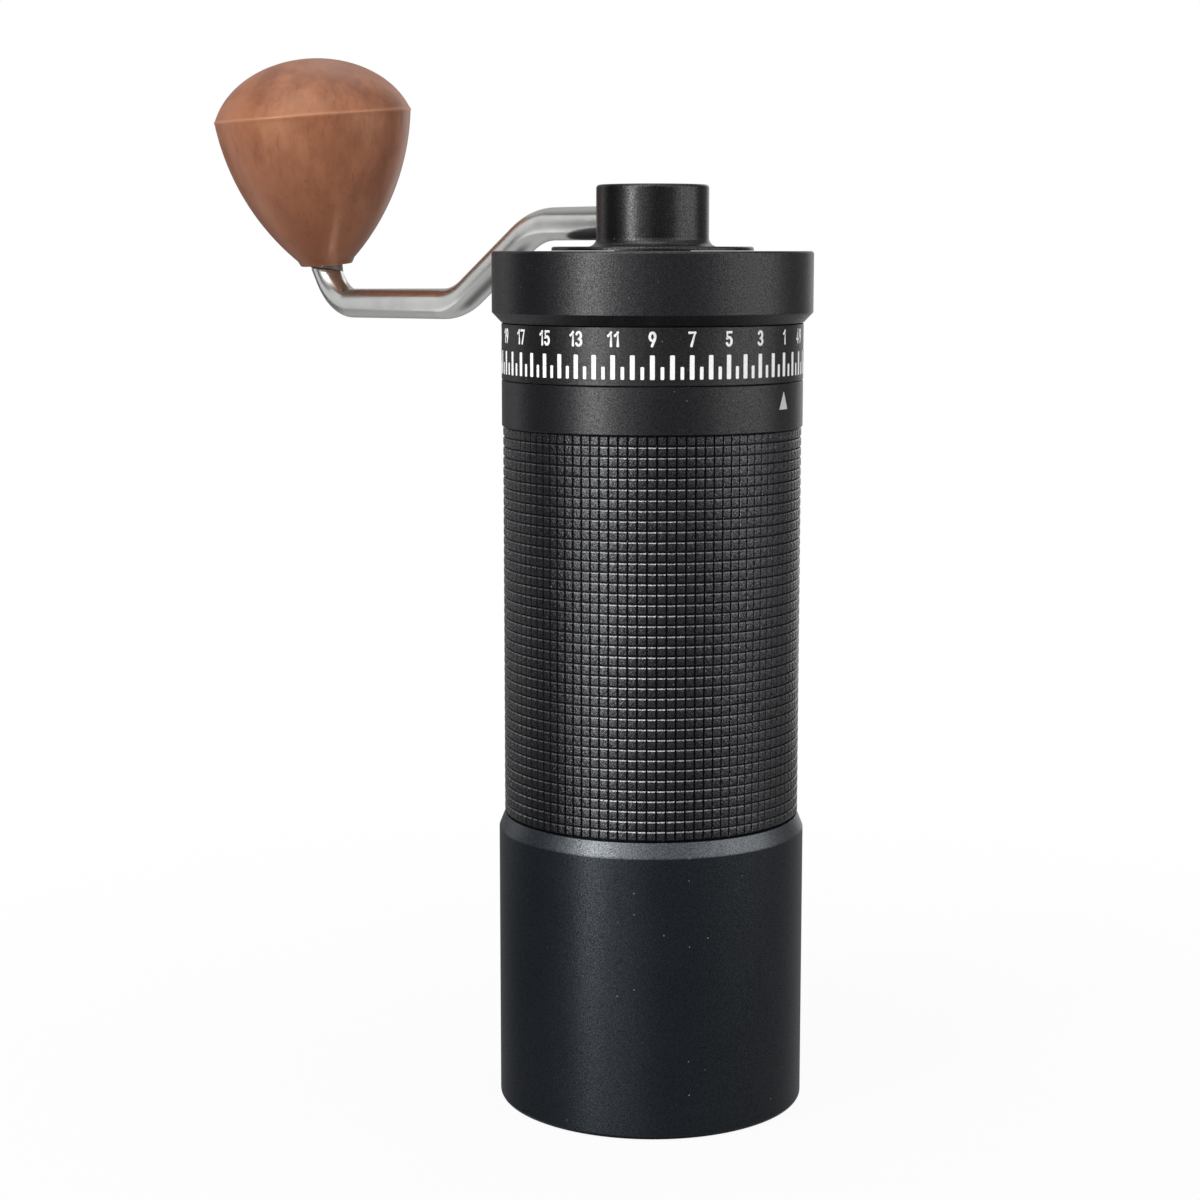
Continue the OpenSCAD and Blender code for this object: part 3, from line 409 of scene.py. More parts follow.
def turnedPiece(name, outline, closed, turn=Matrix.Identity(4), segments=256):
    spots, normals, faces, rings = [], [], [], []
    rotation = turn.to_3x3()
    for r, z, nr, nz in outline:
        ring = []
        for j in range(segments if r > onAxis else 1):
            a = 2 * math.pi * j / segments
            ring.append(len(spots))
            spots.append((turn @ Vector((r * math.cos(a), r * math.sin(a), z))) * mm)
            normals.append(rotation @ Vector((nr * math.cos(a), nr * math.sin(a), nz)))
        rings.append(ring)
    for i in range(len(rings) if closed else len(rings) - 1):
        low, high = rings[i], rings[(i + 1) % len(rings)]
        for j in range(segments):
            k = (j + 1) % segments
            corner = [low[j % len(low)], low[k % len(low)], high[k % len(high)], high[j % len(high)]]
            faces.append(list(dict.fromkeys(corner)))
    mesh = bpy.data.meshes.new(name)
    mesh.from_pydata(spots, [], faces)
    mesh.shade_smooth()
    mesh.normals_split_custom_set_from_vertices([n.normalized() for n in normals])
    return addObject(name, mesh)


def settle(piece, body, slot, finish=None, stands=()):
    piece.data.materials.clear()
    piece.data.materials.append(finish or finishes[slot])
    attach(piece, body)
    if stands:
        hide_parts(*stands)
    return piece


cupShape = {
    "radius": 27.0, "height": 51.7, "bore": 24.2, "floor": 3.0, "cove": 2.0,
    "bevelWidth": 1.05, "bevelHeight": 2.6,
    "footRound": 0.8, "bevelRound": 0.5, "rimRound": 0.15, "lipRound": 0.2, "coveRound": 0.5,
}


def makeCup(s):
    corners = [
        (0, 0, 0), (s["radius"], 0, s["footRound"]),
        (s["radius"], s["height"] - s["bevelHeight"], s["bevelRound"]),
        (s["radius"] - s["bevelWidth"], s["height"], s["rimRound"]),
        (s["bore"], s["height"], s["lipRound"]),
        (s["bore"], s["floor"] + s["cove"], s["coveRound"]),
        (s["bore"] - s["cove"], s["floor"], s["coveRound"]),
        (0, s["floor"], 0),
    ]
    cup = turnedPiece("catchCup", roundedOutline(corners, False), False)
    settle(cup, "cup", "cup_black", stands=["catch_cup"])


dialShape = {
    "radius": 26.2, "foot": 128.3, "top": 137.95, "threadRadius": 24.0, "landFoot": 136.2,
    "landRadius": 23.45, "trackIn": 24.45, "trackOut": 25.75, "trackDepth": 0.35,
    "edge": 0.15, "trackEdge": 0.08, "boreEdge": 0.1,
}


def makeDial(s):
    corners = [
        (s["threadRadius"], s["foot"], s["boreEdge"]), (s["trackIn"], s["foot"], s["trackEdge"]),
        (s["trackIn"], s["foot"] + s["trackDepth"], s["trackEdge"]),
        (s["trackOut"], s["foot"] + s["trackDepth"], s["trackEdge"]),
        (s["trackOut"], s["foot"], s["trackEdge"]), (s["radius"], s["foot"], s["edge"]),
        (s["radius"], s["top"], s["edge"]), (s["landRadius"], s["top"], s["boreEdge"]),
        (s["landRadius"], s["landFoot"], s["boreEdge"]),
        (s["threadRadius"], s["landFoot"], s["boreEdge"]),
    ]
    dial = turnedPiece("dialRing", roundedOutline(corners, True, 4), True)
    settle(dial, "dial", "dial_black", stands=["dial_ring"])


lidShape = {
    "radius": 27.85, "foot": 138.1, "footRadius": 26.2, "coneHeight": 1.75, "bore": 25.3,
    "ceiling": 147.2, "top": 150.3, "hole": 8.0,
    "edge": 0.15, "footEdge": 0.12, "topRound": 0.5, "ceilingRound": 0.3,
}


def makeLid(s):
    corners = [
        (s["bore"], s["foot"], s["edge"]), (s["footRadius"], s["foot"], s["footEdge"]),
        (s["radius"], s["foot"] + s["coneHeight"], s["edge"]), (s["radius"], s["top"], s["topRound"]),
        (s["hole"], s["top"], s["edge"]), (s["hole"], s["ceiling"], s["edge"]),
        (s["bore"], s["ceiling"], s["ceilingRound"]),
    ]
    lid = turnedPiece("lidCap", roundedOutline(corners, True), True)
    settle(lid, "lid", "body_black", stands=["lid"])


makeCup(cupShape)
makeDial(dialShape)
makeLid(lidShape)
print("turned pieces made")


knobShape = {
    "footRadius": 5.4, "footRound": 0.35, "sideFoot": (5.95, 1.1), "sideRadius": 49.3,
    "ridgeRadius": 20.6, "ridgeHeight": knobPlace["ridgeHeight"],
    "ridgeEdge": [(0.12, -0.35), (0.03, -0.17), (0, 0), (0.06, 0.16)],    # inwards from the ridge, and up
    "domeHeight": 11.8, "domeSink": 4.4, "boreRadius": 4.02, "boreTop": 33.3, "boreRound": 0.1,
    "steps": 40, "segments": 192,
}


def makeKnob(s):
    edge = [Vector((s["ridgeRadius"] - inwards, s["ridgeHeight"] + up)) for inwards, up in s["ridgeEdge"]]
    foot, rim = Vector(s["sideFoot"]), edge[0]
    middle, chord = (foot + rim) / 2, rim - foot
    reach = math.sqrt(s["sideRadius"] ** 2 - chord.length_squared / 4)
    centre = middle + Vector((-chord.y, chord.x)).normalized() * reach
    first = math.atan2(foot.y - centre.y, foot.x - centre.x)
    last = math.atan2(rim.y - centre.y, rim.x - centre.x)
    side = [centre + s["sideRadius"] * Vector((math.cos(a), math.sin(a)))
            for a in spread(first, last, s["steps"])]
    height = s["domeHeight"] + s["domeSink"]
    low = math.asin(s["domeSink"] / height)
    wide = (s["ridgeRadius"] - s["ridgeEdge"][0][0]) / math.cos(low)
    top = s["ridgeHeight"] + s["domeHeight"]
    dome = [Vector((wide * math.cos(a), top - height + height * math.sin(a)))
            for a in spread(low, math.pi / 2, s["steps"])]
    dome[0], dome[-1].x = edge[3], 0
    flat = roundedOutline([
        (0, s["boreTop"], 0), (s["boreRadius"], s["boreTop"], 0), (s["boreRadius"], 0, s["boreRound"]),
        (s["footRadius"], 0, s["footRound"]), (*foot, 0)], False, 4)
    outline = flat[:-1] + smoothOutline(side + edge[1:3] + dome)
    knob = turnedPiece("knobWood", outline, False, knobTurn, s["segments"])
    settle(knob, "knob", "knob_wood", stands=["knob"])


armShape = {
    "radius": 3.0, "start": 2.5, "upperCorner": 36.0, "lowerCorner": 66.0, "drop": 15.2, "sag": 0.7,
    "bends": (25.0, 24.0, 11.0), "bendSteps": (24, 24, 60), "end": -8.85, "endSlant": 13.0,
    "endRound": 0.25, "sides": 64,
    "endRoom": 1.6,    # the swept rings stop this far below the end, clear of its slanted face
}


def bendStations(corner, angle, turn, radius, count):
    side = 1 if turn > 0 else -1
    heading = Vector((math.cos(angle), math.sin(angle)))
    leftOf = lambda a: Vector((-math.sin(a), math.cos(a)))
    start = Vector(corner) - heading * radius * math.tan(abs(turn) / 2)
    angles = [angle + turn * i / count for i in range(count + 1)]
    return [(start + side * radius * (leftOf(angle) - leftOf(a)), a) for a in angles]


def armStations(s):
    upper, lower, last = s["bends"]
    upperSteps, lowerSteps, lastSteps = s["bendSteps"]
    heading = math.acos(1 - (s["end"] + s["drop"] + s["sag"]) / last)    # of the bar at the knob
    corner = knobPlace["crankRadius"] + last * (1 - math.sin(heading))
    slopeA = math.atan(s["drop"] / (s["lowerCorner"] - s["upperCorner"]))
    slopeB = math.atan(s["sag"] / (corner - s["lowerCorner"]))
    stations = [(Vector((s["start"], 0)), 0.0)]
    stations += bendStations((s["upperCorner"], 0), 0, -slopeA, upper, upperSteps)
    stations += bendStations((s["lowerCorner"], -s["drop"]), -slopeA, slopeA - slopeB, lower, lowerSteps)
    rise = bendStations((corner, -s["drop"] - s["sag"]), -slopeB, math.pi / 2 + slopeB, last, lastSteps)
    return stations + [t for t in rise if t[0].y < s["end"] - s["endRoom"]]


# A round bar swept along its bends, with a slanted face and a small chamfer at the knob
def makeArm(s):
    stations = armStations(s)
    spots, normals, faces = [], [], []
    turn = armTurn @ Matrix.Scale(-1, 4, (1, 0, 0))
    rotation = turn.to_3x3()
    n = s["sides"]
    slant = math.tan(math.radians(s["endSlant"]))

    def addRing(middle, angle, radius, cutDrop, facing=None):
        left = Vector((-math.sin(angle), math.cos(angle)))
        run = Vector((math.cos(angle), math.sin(angle)))
        for j in range(n):
            a = 2 * math.pi * j / n
            flat, side = middle + left * radius * math.cos(a), radius * math.sin(a)
            if cutDrop is not None:
                flat = flat + run * (s["end"] - cutDrop - side * slant - flat.y) / run.y
            out = facing or Vector((left.x * math.cos(a), math.sin(a), left.y * math.cos(a)))
            spots.append((turn @ Vector((flat.x, side, flat.y))) * mm)
            normals.append((rotation @ out).normalized())

    for middle, angle in stations:
        addRing(middle, angle, s["radius"], None)
    middle, angle = stations[-1]
    addRing(middle, angle, s["radius"], s["endRound"])
    top = Vector((0, slant, 1))
    addRing(middle, angle, s["radius"] - s["endRound"], 0.0, top)
    for i in range(len(spots) // n - 1):
        low, high = i * n, (i + 1) * n
        faces += [(low + j, low + (j + 1) % n, high + (j + 1) % n, high + j) for j in range(n)]
    faces.append(tuple(range(len(spots) - n, len(spots))))
    base = len(spots)
    spots += spots[:n]
    normals += [rotation @ Vector((-1, 0, 0))] * n
    faces.append(tuple(range(base, base + n)))
    work = bmesh.new()
    mesh = bpy.data.meshes.new("crankArm")
    mesh.from_pydata(spots, [], faces)
    work.from_mesh(mesh)
    bmesh.ops.recalc_face_normals(work, faces=work.faces)
    work.to_mesh(mesh)
    work.free()
    mesh.shade_smooth()
    mesh.normals_split_custom_set_from_vertices(normals)
    settle(addObject("crankArm", mesh), "crank", "rod_steel", stands=["crank_arm"])


makeKnob(knobShape)
makeArm(armShape)
print("knob and crank arm made")


def newTree(name, inputs):
    tree = bpy.data.node_groups.new(name, "GeometryNodeTree")
    tree.is_modifier = True
    for label, kind in inputs:
        tree.interface.new_socket(label, in_out="INPUT", socket_type="NodeSocket" + kind)
    tree.interface.new_socket("Geometry", in_out="OUTPUT", socket_type="NodeSocketGeometry")
    entry = tree.nodes.new("NodeGroupInput")
    return tree, entry.outputs


def onRing(tree, radius, angle, height):
    return put(tree, "ShaderNodeCombineXYZ", {
        "X": calc(tree, "MULTIPLY", radius, calc(tree, "COSINE", angle)),
        "Y": calc(tree, "MULTIPLY", radius, calc(tree, "SINE", angle)), "Z": height}).outputs[0]


def aboutAxis(tree, angle):
    euler = put(tree, "ShaderNodeCombineXYZ", {"Z": angle})
    return put(tree, "FunctionNodeEulerToRotation", {0: euler.outputs[0]}).outputs[0]


def closeTree(tree, geometry, finish):
    real = put(tree, "GeometryNodeRealizeInstances", {"Geometry": geometry})
    painted = put(tree, "GeometryNodeSetMaterial", {"Geometry": real.outputs[0], "Material": finish})
    put(tree, "NodeGroupOutput", {"Geometry": painted.outputs[0]})


def grow(name, tree, values, source=None):
    holder = addObject(name + "Seed", source or bpy.data.meshes.new(name + "Seed"))
    modifier = holder.modifiers.new(name, "NODES")
    modifier.node_group = tree
    for item in tree.interface.items_tree:
        if item.in_out == "INPUT" and item.name in values:
            modifier[item.identifier] = values[item.name]
    bpy.context.view_layer.update()
    grown = holder.evaluated_get(bpy.context.evaluated_depsgraph_get())
    mesh = bpy.data.meshes.new_from_object(grown)
    mesh.name = name
    bpy.data.objects.remove(holder)
    return addObject(name, mesh)


# Each level of a pad is (rise, width, height) in mm
gripShape = {
    "columns": 100, "rows": 39, "foot": 51.95, "top": 120.15, "bore": 24.62, "floorRadius": 25.58,
    "boreEdge": 0.05, "floorEdge": 0.1,
    "padLevels": [(-0.05, 1.50, 1.64), (0.17, 1.44, 1.60), (0.22, 1.40, 1.56), (0.39, 1.24, 1.18)],
    "burnish": (0.0, 0.0, 1.0, 0.2),    # how burnished a pad's lower, right, upper and left edges are
    "crown": 0.03, "unevenness": 0.03,
}


def makePadShape(s):
    spots = []
    for rise, wide, high in s["padLevels"]:
        spots += [Vector((rise, y * wide / 2, z * high / 2)) * mm
                  for y, z in ((-1, -1), (1, -1), (1, 1), (-1, 1))]
    top = 4 * (len(s["padLevels"]) - 1)
    spots.append(Vector((s["padLevels"][-1][0] + s["crown"], 0, 0)) * mm)
    faces = [(k + j, k + (j + 1) % 4, k + 4 + (j + 1) % 4, k + 4 + j)
             for k in range(0, top, 4) for j in range(4)]
    faces += [(top + j, top + (j + 1) % 4, top + 4) for j in range(4)]
    mesh = bpy.data.meshes.new("padShape")
    mesh.from_pydata(spots, [], faces)
    edge = mesh.attributes.new("edge", "FLOAT", "FACE")
    for k, share in enumerate(s["burnish"]):
        edge.data[top - 4 + k].value = share
    return addObject("padShape", mesh)


def padTree():
    tree, given = newTree("gripPads", [
        ("Pad", "Object"), ("Columns", "Int"), ("Rows", "Int"), ("Radius", "Float"), ("Foot", "Float"),
        ("Height", "Float"), ("Unevenness", "Float"), ("Seed", "Int"), ("Finish", "Material")])
    total = calc(tree, "MULTIPLY", given["Columns"], given["Rows"])
    dots = put(tree, "GeometryNodePoints", {"Count": total})
    index = put(tree, "GeometryNodeInputIndex").outputs[0]
    column = calc(tree, "MODULO", index, given["Columns"])
    row = calc(tree, "FLOOR", calc(tree, "DIVIDE", index, given["Columns"]))
    angle = calc(tree, "MULTIPLY", column, calc(tree, "DIVIDE", 2 * math.pi, given["Columns"]))
    pitch = calc(tree, "DIVIDE", given["Height"], given["Rows"])
    height = calc(tree, "ADD", given["Foot"], calc(tree, "MULTIPLY", pitch, calc(tree, "ADD", row, 0.5)))
    placed = put(tree, "GeometryNodeSetPosition", {
        "Geometry": dots.outputs[0], "Position": onRing(tree, given["Radius"], angle, height)})
    low = calc(tree, "SUBTRACT", 1.0, given["Unevenness"])
    size = put(tree, "FunctionNodeRandomValue", {
        2: low, 3: 1.0, "Seed": given["Seed"]}, data_type="FLOAT")
    shape = put(tree, "GeometryNodeObjectInfo", {"Object": given["Pad"]})
    pads = put(tree, "GeometryNodeInstanceOnPoints", {
        "Points": placed.outputs[0], "Instance": shape.outputs["Geometry"],
        "Rotation": aboutAxis(tree, angle), "Scale": size.outputs[1]})
    closeTree(tree, pads.outputs[0], given["Finish"])
    return tree


def makeGrip(s):
    corners = [
        (s["bore"], s["foot"], s["boreEdge"]), (s["floorRadius"], s["foot"], s["floorEdge"]),
        (s["floorRadius"], s["top"], s["floorEdge"]), (s["bore"], s["top"], s["boreEdge"])]
    sleeve = turnedPiece("gripSleeve", roundedOutline(corners, True, 2), True)
    pad = makePadShape(s)
    pads = grow("gripPads", padTree(), {
        "Pad": pad, "Columns": s["columns"], "Rows": s["rows"], "Radius": s["floorRadius"] * mm,
        "Foot": s["foot"] * mm, "Height": (s["top"] - s["foot"]) * mm, "Unevenness": s["unevenness"],
        "Seed": 7, "Finish": finishes["grip_black"]})
    bpy.data.objects.remove(pad)
    # the sleeve between the pads wears the painted groove shade
    settle(sleeve, "body", "grip_black", paintedGrooveShade, ["grip_sleeve"])
    settle(pads, "body", "grip_black", stands=["grip_sleeve"])


makeGrip(gripShape)
print("grip made")


# The dial's scale: bars at whole and half divisions, and odd numbers over the bars. A 1 is narrower than
# the other figures and stands a little to the left of its place.
scaleShape = {
    "radius": 26.2, "markAngle": 21.55, "divisions": 50, "depth": 0.03,
    "longFoot": 129.4, "longHeight": 4.0, "longWidth": 0.8,
    "shortFoot": 129.4, "shortHeight": 2.1, "shortWidth": 0.6, "corner": 0.16,
    "digitFoot": 134.7, "digitHeight": 2.6, "digitWidth": 1.4, "digitGap": 0.28, "stroke": 0.44,
    "oneShare": 0.62, "oneShift": 0.05,
}


def barTree():
    tree, given = newTree("scaleBars", [
        ("Count", "Int"), ("Start", "Float"), ("Radius", "Float"), ("Middle", "Float"),
        ("Width", "Float"), ("Height", "Float"), ("Corner", "Float"), ("Depth", "Float"),
        ("Finish", "Material")])
    dots = put(tree, "GeometryNodePoints", {"Count": given["Count"]})
    index = put(tree, "GeometryNodeInputIndex").outputs[0]
    step = calc(tree, "DIVIDE", 2 * math.pi, given["Count"])
    angle = calc(tree, "ADD", given["Start"], calc(tree, "MULTIPLY", index, step))
    placed = put(tree, "GeometryNodeSetPosition", {
        "Geometry": dots.outputs[0], "Position": onRing(tree, given["Radius"], angle, given["Middle"])})
    box = put(tree, "GeometryNodeCurvePrimitiveQuadrilateral", {
        "Width": given["Width"], "Height": given["Height"]})
    soft = put(tree, "GeometryNodeFilletCurve", {
        "Curve": box.outputs[0], "Radius": given["Corner"], "Count": 4}, mode="POLY")
    plate = put(tree, "GeometryNodeFillCurve", {0: soft.outputs[0]})
    thick = put(tree, "GeometryNodeExtrudeMesh", {
        "Mesh": plate.outputs[0], "Offset Scale": given["Depth"]})
    upright = put(tree, "GeometryNodeTransform", {
        "Geometry": thick.outputs[0], "Rotation": (math.pi / 2, 0, math.pi / 2)})
    bars = put(tree, "GeometryNodeInstanceOnPoints", {
        "Points": placed.outputs[0], "Instance": upright.outputs[0], "Rotation": aboutAxis(tree, angle)})
    closeTree(tree, bars.outputs[0], given["Finish"])
    return tree


def arc(middle, radii, first, last, count=12):
    return [(middle[0] + radii[0] * math.cos(a), middle[1] + radii[1] * math.sin(a))
            for a in map(math.radians, spread(first, last, count))]


# Strokes of each figure in a box one unit wide and one high
figureStrokes = {
    "1": [[(0.10, 0.76), (0.58, 1.0), (0.58, 0.0)]],
    "2": [arc((0.5, 0.72), (0.46, 0.28), 165, -38) + [(0.04, 0.0), (1.0, 0.0)]],
    "3": [arc((0.47, 0.745), (0.44, 0.255), 155, -90), arc((0.47, 0.245), (0.50, 0.245), 90, -155)],
    "4": [[(0.74, 0.0), (0.74, 1.0), (0.0, 0.27), (1.0, 0.27)]],
    "5": [[(0.92, 1.0), (0.16, 1.0), (0.09, 0.53)] + arc((0.48, 0.31), (0.49, 0.31), 128, -152)],
    "7": [[(0.0, 1.0), (1.0, 1.0), (0.36, 0.0)]],
    "9": [arc((0.5, 0.70), (0.46, 0.30), 0, 360, 20), [(0.95, 0.63), (0.84, 0.42), (0.42, 0.0)]],
}


def strokeTree():
    tree, given = newTree("scaleFigures", [
        ("Geometry", "Geometry"), ("Stroke", "Float"), ("Depth", "Float"), ("Radius", "Float"),
        ("Finish", "Material")])
    lines = put(tree, "GeometryNodeMeshToCurve", {"Mesh": given["Geometry"]})
    flat = put(tree, "GeometryNodeSetCurveNormal", {"Curve": lines.outputs[0]}, mode="Z_UP")
    section = put(tree, "GeometryNodeCurvePrimitiveQuadrilateral", {
        "Width": given["Stroke"], "Height": given["Depth"]})
    ribbon = put(tree, "GeometryNodeCurveToMesh", {
        "Curve": flat.outputs[0], "Profile Curve": section.outputs[0], "Fill Caps": True})
    dots = put(tree, "GeometryNodeMeshToPoints", {"Mesh": given["Geometry"]})
    half = calc(tree, "MULTIPLY", given["Stroke"], 0.5)
    disc = put(tree, "GeometryNodeMeshCylinder", {
        "Vertices": 16, "Radius": half, "Depth": given["Depth"]})    # rounds the strokes' ends
    ends = put(tree, "GeometryNodeInstanceOnPoints", {
        "Points": dots.outputs[0], "Instance": disc.outputs[0]})
    joined = put(tree, "GeometryNodeJoinGeometry")
    tree.links.new(ribbon.outputs[0], joined.inputs[0])
    tree.links.new(ends.outputs[0], joined.inputs[0])
    real = put(tree, "GeometryNodeRealizeInstances", {"Geometry": joined.outputs[0]})
    # laid flat the figures run along X with Y up; this wraps them round the ring
    parts = put(tree, "ShaderNodeSeparateXYZ", {0: put(tree, "GeometryNodeInputPosition").outputs[0]})
    angle = calc(tree, "DIVIDE", parts.outputs["X"], given["Radius"])
    out = calc(tree, "ADD", given["Radius"], parts.outputs["Z"])
    wrapped = put(tree, "GeometryNodeSetPosition", {
        "Geometry": real.outputs[0], "Position": onRing(tree, out, angle, parts.outputs["Y"])})
    closeTree(tree, wrapped.outputs[0], given["Finish"])
    return tree


def layOutFigures(s):
    work = bmesh.new()
    wide, high = s["digitWidth"] - s["stroke"], s["digitHeight"] - s["stroke"]
    low = s["digitFoot"] + s["stroke"] / 2
    for number in range(1, s["divisions"], 2):
        middle = math.radians(s["markAngle"] - 360 / s["divisions"] * (number - 1)) * s["radius"]
        digits = str(number)
        span = [(s["oneShare"] if d == "1" else 1.0) * s["digitWidth"] for d in digits]
        left = middle - (sum(span) + s["digitGap"] * (len(digits) - 1)) / 2
        for digit, width in zip(digits, span):
            foot = left + s["stroke"] / 2 - (s["oneShift"] if digit == "1" else 0)
            for stroke in figureStrokes[digit]:
                spots = [work.verts.new(Vector((foot + x * wide, low + y * high, 0)) * mm)
                         for x, y in stroke]
                for one, two in zip(spots, spots[1:]):
                    work.edges.new((one, two))
            left += width + s["digitGap"]
    mesh = bpy.data.meshes.new("figureLines")
    work.to_mesh(mesh)
    work.free()
    return mesh


def makeScale(s):
    bars = barTree()
    # bars and figures are sunk in the ring by a third of their depth
    common = {
        "Radius": (s["radius"] - s["depth"] / 3) * mm, "Depth": s["depth"] * mm, "Finish": scalePaint,
        "Corner": s["corner"] * mm, "Count": s["divisions"]}
    step = 2 * math.pi / s["divisions"]
    start = math.radians(s["markAngle"])
    longBars = grow("scaleLongBars", bars, dict(
        common, Start=start, Width=s["longWidth"] * mm, Height=s["longHeight"] * mm,
        Middle=(s["longFoot"] + s["longHeight"] / 2) * mm))
    shortBars = grow("scaleShortBars", bars, dict(
        common, Start=start + step / 2, Width=s["shortWidth"] * mm, Height=s["shortHeight"] * mm,
        Middle=(s["shortFoot"] + s["shortHeight"] / 2) * mm))
    numbers = grow("scaleFigures", strokeTree(), {
        "Stroke": s["stroke"] * mm, "Depth": s["depth"] * mm, "Finish": scalePaint,
        "Radius": (s["radius"] + s["depth"] / 6) * mm}, layOutFigures(s))
    for piece in (longBars, shortBars, numbers):
        settle(piece, "dial", "dial_black", scalePaint)


makeScale(scaleShape)
print("dial scale made")


# The index mark on the band
markShape = {
    "angle": 21.55, "radius": 26.2, "foot": 123.85, "tip": 126.8, "width": 2.55, "tipHalf": 0.06,
    "depth": 0.03, "sunk": 0.05, "rows": 6,
}


def makeMark(s):
    work = bmesh.new()
    turn = math.radians(s["angle"])
    rings = []
    for share in spread(0, 1, s["rows"]):
        half = s["width"] / 2 * (1 - share) + s["tipHalf"]
        z = s["foot"] + (s["tip"] - s["foot"]) * share
        ring = []
        for side in (-1, 0, 1):
            a = turn + side * half / s["radius"]
            for r in (s["radius"] - s["sunk"], s["radius"] + s["depth"]):
                ring.append(work.verts.new(Vector((r * math.cos(a), r * math.sin(a), z)) * mm))
        rings.append(ring)
    for low, high in zip(rings, rings[1:]):
        for a, b in ((1, 3), (3, 5), (5, 4), (0, 1)):
            work.faces.new((low[a], low[b], high[b], high[a]))
    for ring in (rings[0], rings[-1]):
        work.faces.new((ring[0], ring[1], ring[3], ring[2]))
        work.faces.new((ring[2], ring[3], ring[5], ring[4]))
    bmesh.ops.recalc_face_normals(work, faces=work.faces)
    mesh = bpy.data.meshes.new("indexMark")
    work.to_mesh(mesh)
    work.free()
    settle(addObject("indexMark", mesh), "body", "body_black", markSilver)


makeMark(markShape)
print("index mark made")


# A white table in a white room. The camera sees both as pure white. Mirrors look through the table and
# see the room alone, brighter or darker by direction, as panels and black flags make it.
stageSettings = {
    "tableRadius": 0.6,     # m
    "tableSides": 96,
    "tableDrop": 0.0002,    # m below the object's foot
    "tableColour": (0.62, 0.62, 0.62),
    "shadowReach": (0.05, 0.25),    # the table's own shading gives way to white between these, m
    "shadowShare": 0.06,    # how much of that shading shows near the object
    "roomLight": 0.12,      # what the room gives to matte surfaces from below and from the sides
    "skyLight": 0.50,       # and from above
    "skyRise": (-0.1, 0.5),    # sines of the elevations between which one gives way to the other
    "lowLevels": [          # level with the table, by degrees rightwards from the camera
        (-180, 0.30), (-150, 0.20), (-120, 0.04), (-90, 0.0), (-60, 0.10), (-30, 1.5), (0, 0.02),
        (30, 0.18), (60, 0.08), (90, 0.14), (120, 0.20), (150, 0.36)],
    "highLevels": [         # above it
        (-180, 0.42), (-150, 0.42), (-125, 0.12), (-90, 0.0), (-66, 0.7), (-45, 4.8), (-20, 3.2),
        (0, 0.9), (20, 1.0), (45, 2.1), (90, 0.65), (135, 0.15)],
    "topLevel": 1.1,        # overhead
    "underLevel": 0.45,     # below the table
    "downLevel": 0.02,      # and straight down
    "highFrom": (0, 16),    # elevations between which one level gives way to the next, degrees
    "topFrom": (44, 58),
    "underFrom": (-18, -34),
    "downFrom": (-50, -72),
}


def tableFinish(s):
    paint, tree = newFinish("tableWhite")
    paint.cycles.emission_sampling = "NONE"
    matte = put(tree, "ShaderNodeBsdfDiffuse", {"Color": s["tableColour"]})
    white = put(tree, "ShaderNodeEmission")
    clear = put(tree, "ShaderNodeBsdfTransparent")
    away = put(tree, "ShaderNodeVectorMath", {0: place(tree)}, operation="LENGTH").outputs["Value"]
    ray = put(tree, "ShaderNodeLightPath").outputs
    seen = calc(tree, "MAXIMUM", ray["Is Camera Ray"], ray["Is Transmission Ray"])
    share = ramp(tree, away, *s["shadowReach"], 1 - s["shadowShare"], 1.0)
    plain = put(tree, "ShaderNodeMixShader", {
        0: calc(tree, "MULTIPLY", seen, share), 1: matte.outputs[0], 2: white.outputs[0]})
    mix = put(tree, "ShaderNodeMixShader", {
        0: ray["Is Glossy Ray"], 1: plain.outputs[0], 2: clear.outputs[0]})
    put(tree, "ShaderNodeOutputMaterial", {"Surface": mix.outputs[0]})
    return paint


def addTable(s):
    angles = spread(0, 2 * math.pi, s["tableSides"])[:-1]
    spots = [(s["tableRadius"] * math.cos(a), s["tableRadius"] * math.sin(a), -s["tableDrop"])
             for a in angles]
    mesh = bpy.data.meshes.new("table")
    mesh.from_pydata(spots, [], [tuple(range(s["tableSides"]))])
    mesh.materials.append(tableFinish(s))
    table = addObject("table", mesh)


def levelRing(tree, name, fraction, stops):
    tones = put(tree, "ShaderNodeValToRGB", {"Fac": fraction}, name=name)
    ring = stops + [(180, stops[0][1])]
    while len(tones.color_ramp.elements) < len(ring):
        tones.color_ramp.elements.new(1.0)
    for stop, (azimuth, level) in zip(tones.color_ramp.elements, ring):
        stop.position = (azimuth + 180) / 360
        stop.color = (level, level, level, 1)
    return tones.outputs["Color"]


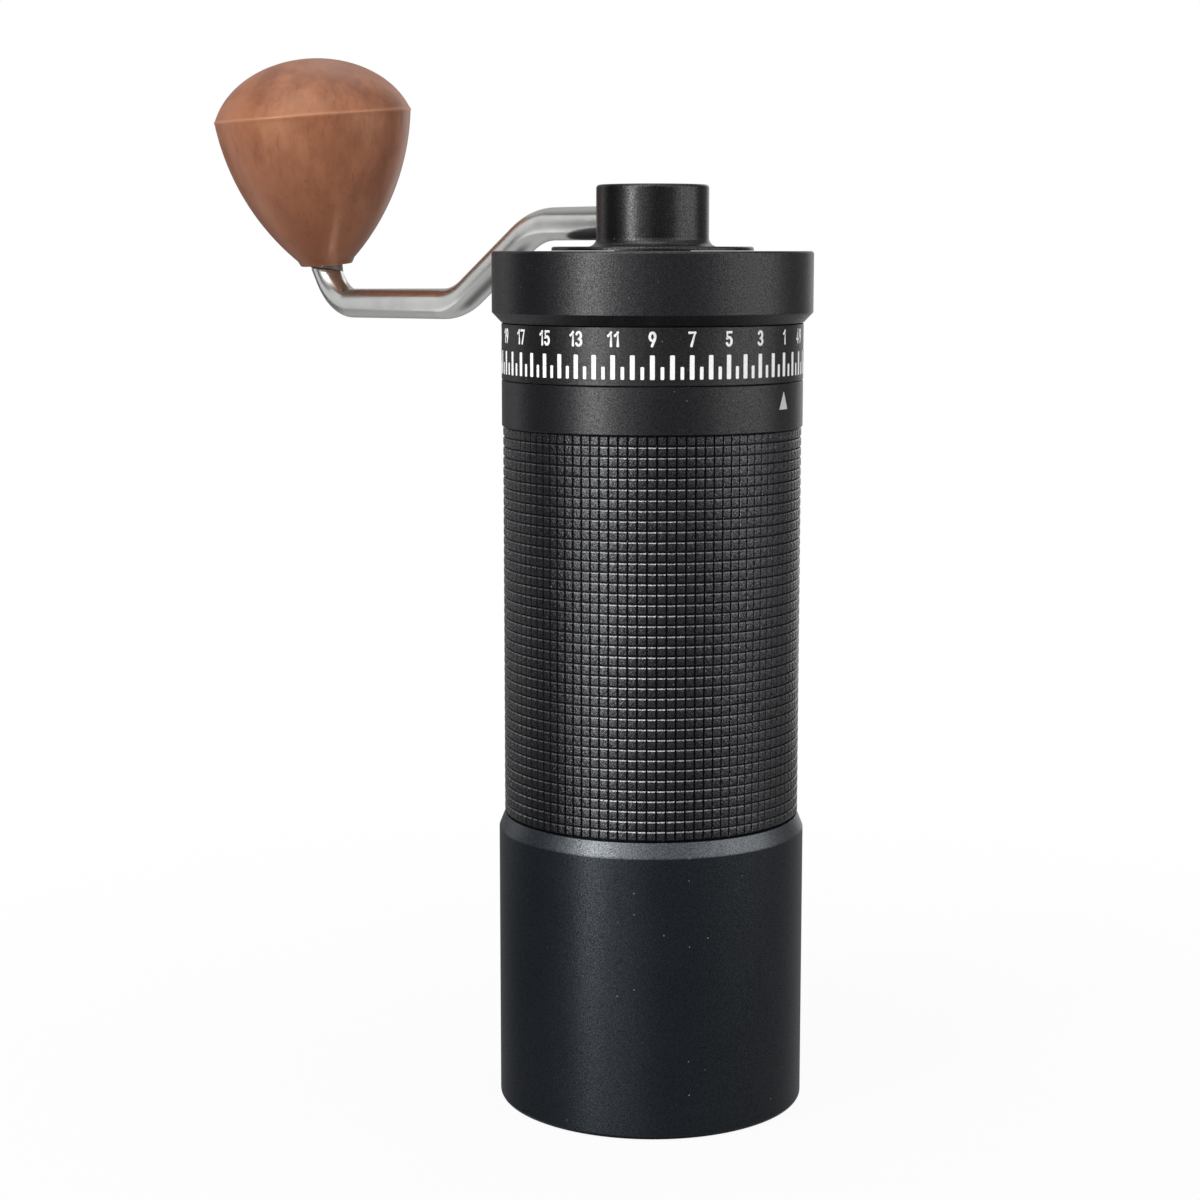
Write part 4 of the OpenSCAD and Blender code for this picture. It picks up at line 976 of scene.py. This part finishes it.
def addRoom(s):
    room = bpy.data.worlds.new("studio")
    bpy.context.scene.world = room
    room.use_nodes = True
    room.cycles.sampling_method = "NONE"
    tree = room.node_tree
    tree.nodes.clear()
    ray = put(tree, "ShaderNodeLightPath").outputs
    facing = put(tree, "ShaderNodeTexCoord").outputs["Generated"]

    def along(axis):
        return put(tree, "ShaderNodeVectorMath", {0: facing, 1: axis},
                   operation="DOT_PRODUCT").outputs["Value"]

    rise = along((0, 0, 1))

    def between(elevations):
        return ramp(tree, rise, *(math.sin(math.radians(e)) for e in elevations))

    fraction = ramp(tree, calc(tree, "ARCTAN2", along(toRight), along(-ahead)), -math.pi, math.pi)
    low = levelRing(tree, "lowLevels", fraction, s["lowLevels"])
    high = levelRing(tree, "highLevels", fraction, s["highLevels"])
    mirrored = blendValue(tree, between(s["highFrom"]), low, high)
    mirrored = blendValue(tree, between(s["topFrom"]), mirrored, s["topLevel"])
    mirrored = blendValue(tree, between(s["underFrom"]), mirrored, s["underLevel"])
    mirrored = blendValue(tree, between(s["downFrom"]), mirrored, s["downLevel"])
    matte = blendValue(tree, ramp(tree, rise, *s["skyRise"]), s["roomLight"], s["skyLight"])
    backdrop = blendValue(tree, ray["Is Glossy Ray"], 1.0, mirrored)
    clear = calc(tree, "MAXIMUM", ray["Is Glossy Ray"], ray["Is Transmission Ray"])
    seen = calc(tree, "MAXIMUM", ray["Is Camera Ray"], clear)
    light = put(tree, "ShaderNodeBackground", {
        "Color": (1, 1, 1), "Strength": blendValue(tree, seen, matte, backdrop)})
    put(tree, "ShaderNodeOutputWorld", {"Surface": light.outputs[0]})


# Azimuth is counted from the camera, rightwards; sizes and distances in m, power in W
softboxes = {
    "keyStrip": {"azimuth": -46, "elevation": 8, "distance": 0.9, "size": (0.16, 0.9), "power": 7.4},
    "topLeft": {"azimuth": -50, "elevation": 66, "distance": 0.9, "size": (0.45, 0.45), "power": 1.7},
    "topFront": {"azimuth": 0, "elevation": 66, "distance": 0.9, "size": (0.45, 0.45), "power": 1.5},
    "rightPanel": {"azimuth": 72, "elevation": 8, "distance": 1.0, "size": (0.9, 0.6), "power": 4.4},
    "rightRim": {"azimuth": 158, "elevation": 12, "distance": 1.0, "size": (0.4, 0.9), "power": 0.9},
    "rodPanel": {    # close behind the crank arm, which mirrors it
        "azimuth": -121.9, "elevation": 8.5, "distance": 0.260, "size": (0.088, 0.28), "power": 0.048},
    "backPanel": {"azimuth": 175, "elevation": 50, "distance": 0.9, "size": (0.5, 0.5), "power": 0.4},
}
lampAim = Vector((0, 0, 0.1))


def addSoftbox(name, s):
    lamp = bpy.data.lights.new(name, "AREA")
    lamp.shape = "RECTANGLE"
    lamp.size, lamp.size_y = s["size"]
    lamp.energy = s["power"]
    box = addObject(name, lamp)
    box.visible_camera = False
    a, e = math.radians(s["azimuth"]), math.radians(s["elevation"])
    level = (-ahead * math.cos(a) + toRight * math.sin(a)) * math.cos(e)
    spot = lampAim + (level + Vector((0, 0, math.sin(e)))) * s["distance"]
    box.location = spot
    box.rotation_euler = (lampAim - spot).to_track_quat("-Z", "Y").to_euler()


addTable(stageSettings)
addRoom(stageSettings)
for name, settings in softboxes.items():
    addSoftbox(name, settings)
bpy.context.scene.view_settings.view_transform = "Standard"
print("stage lit")
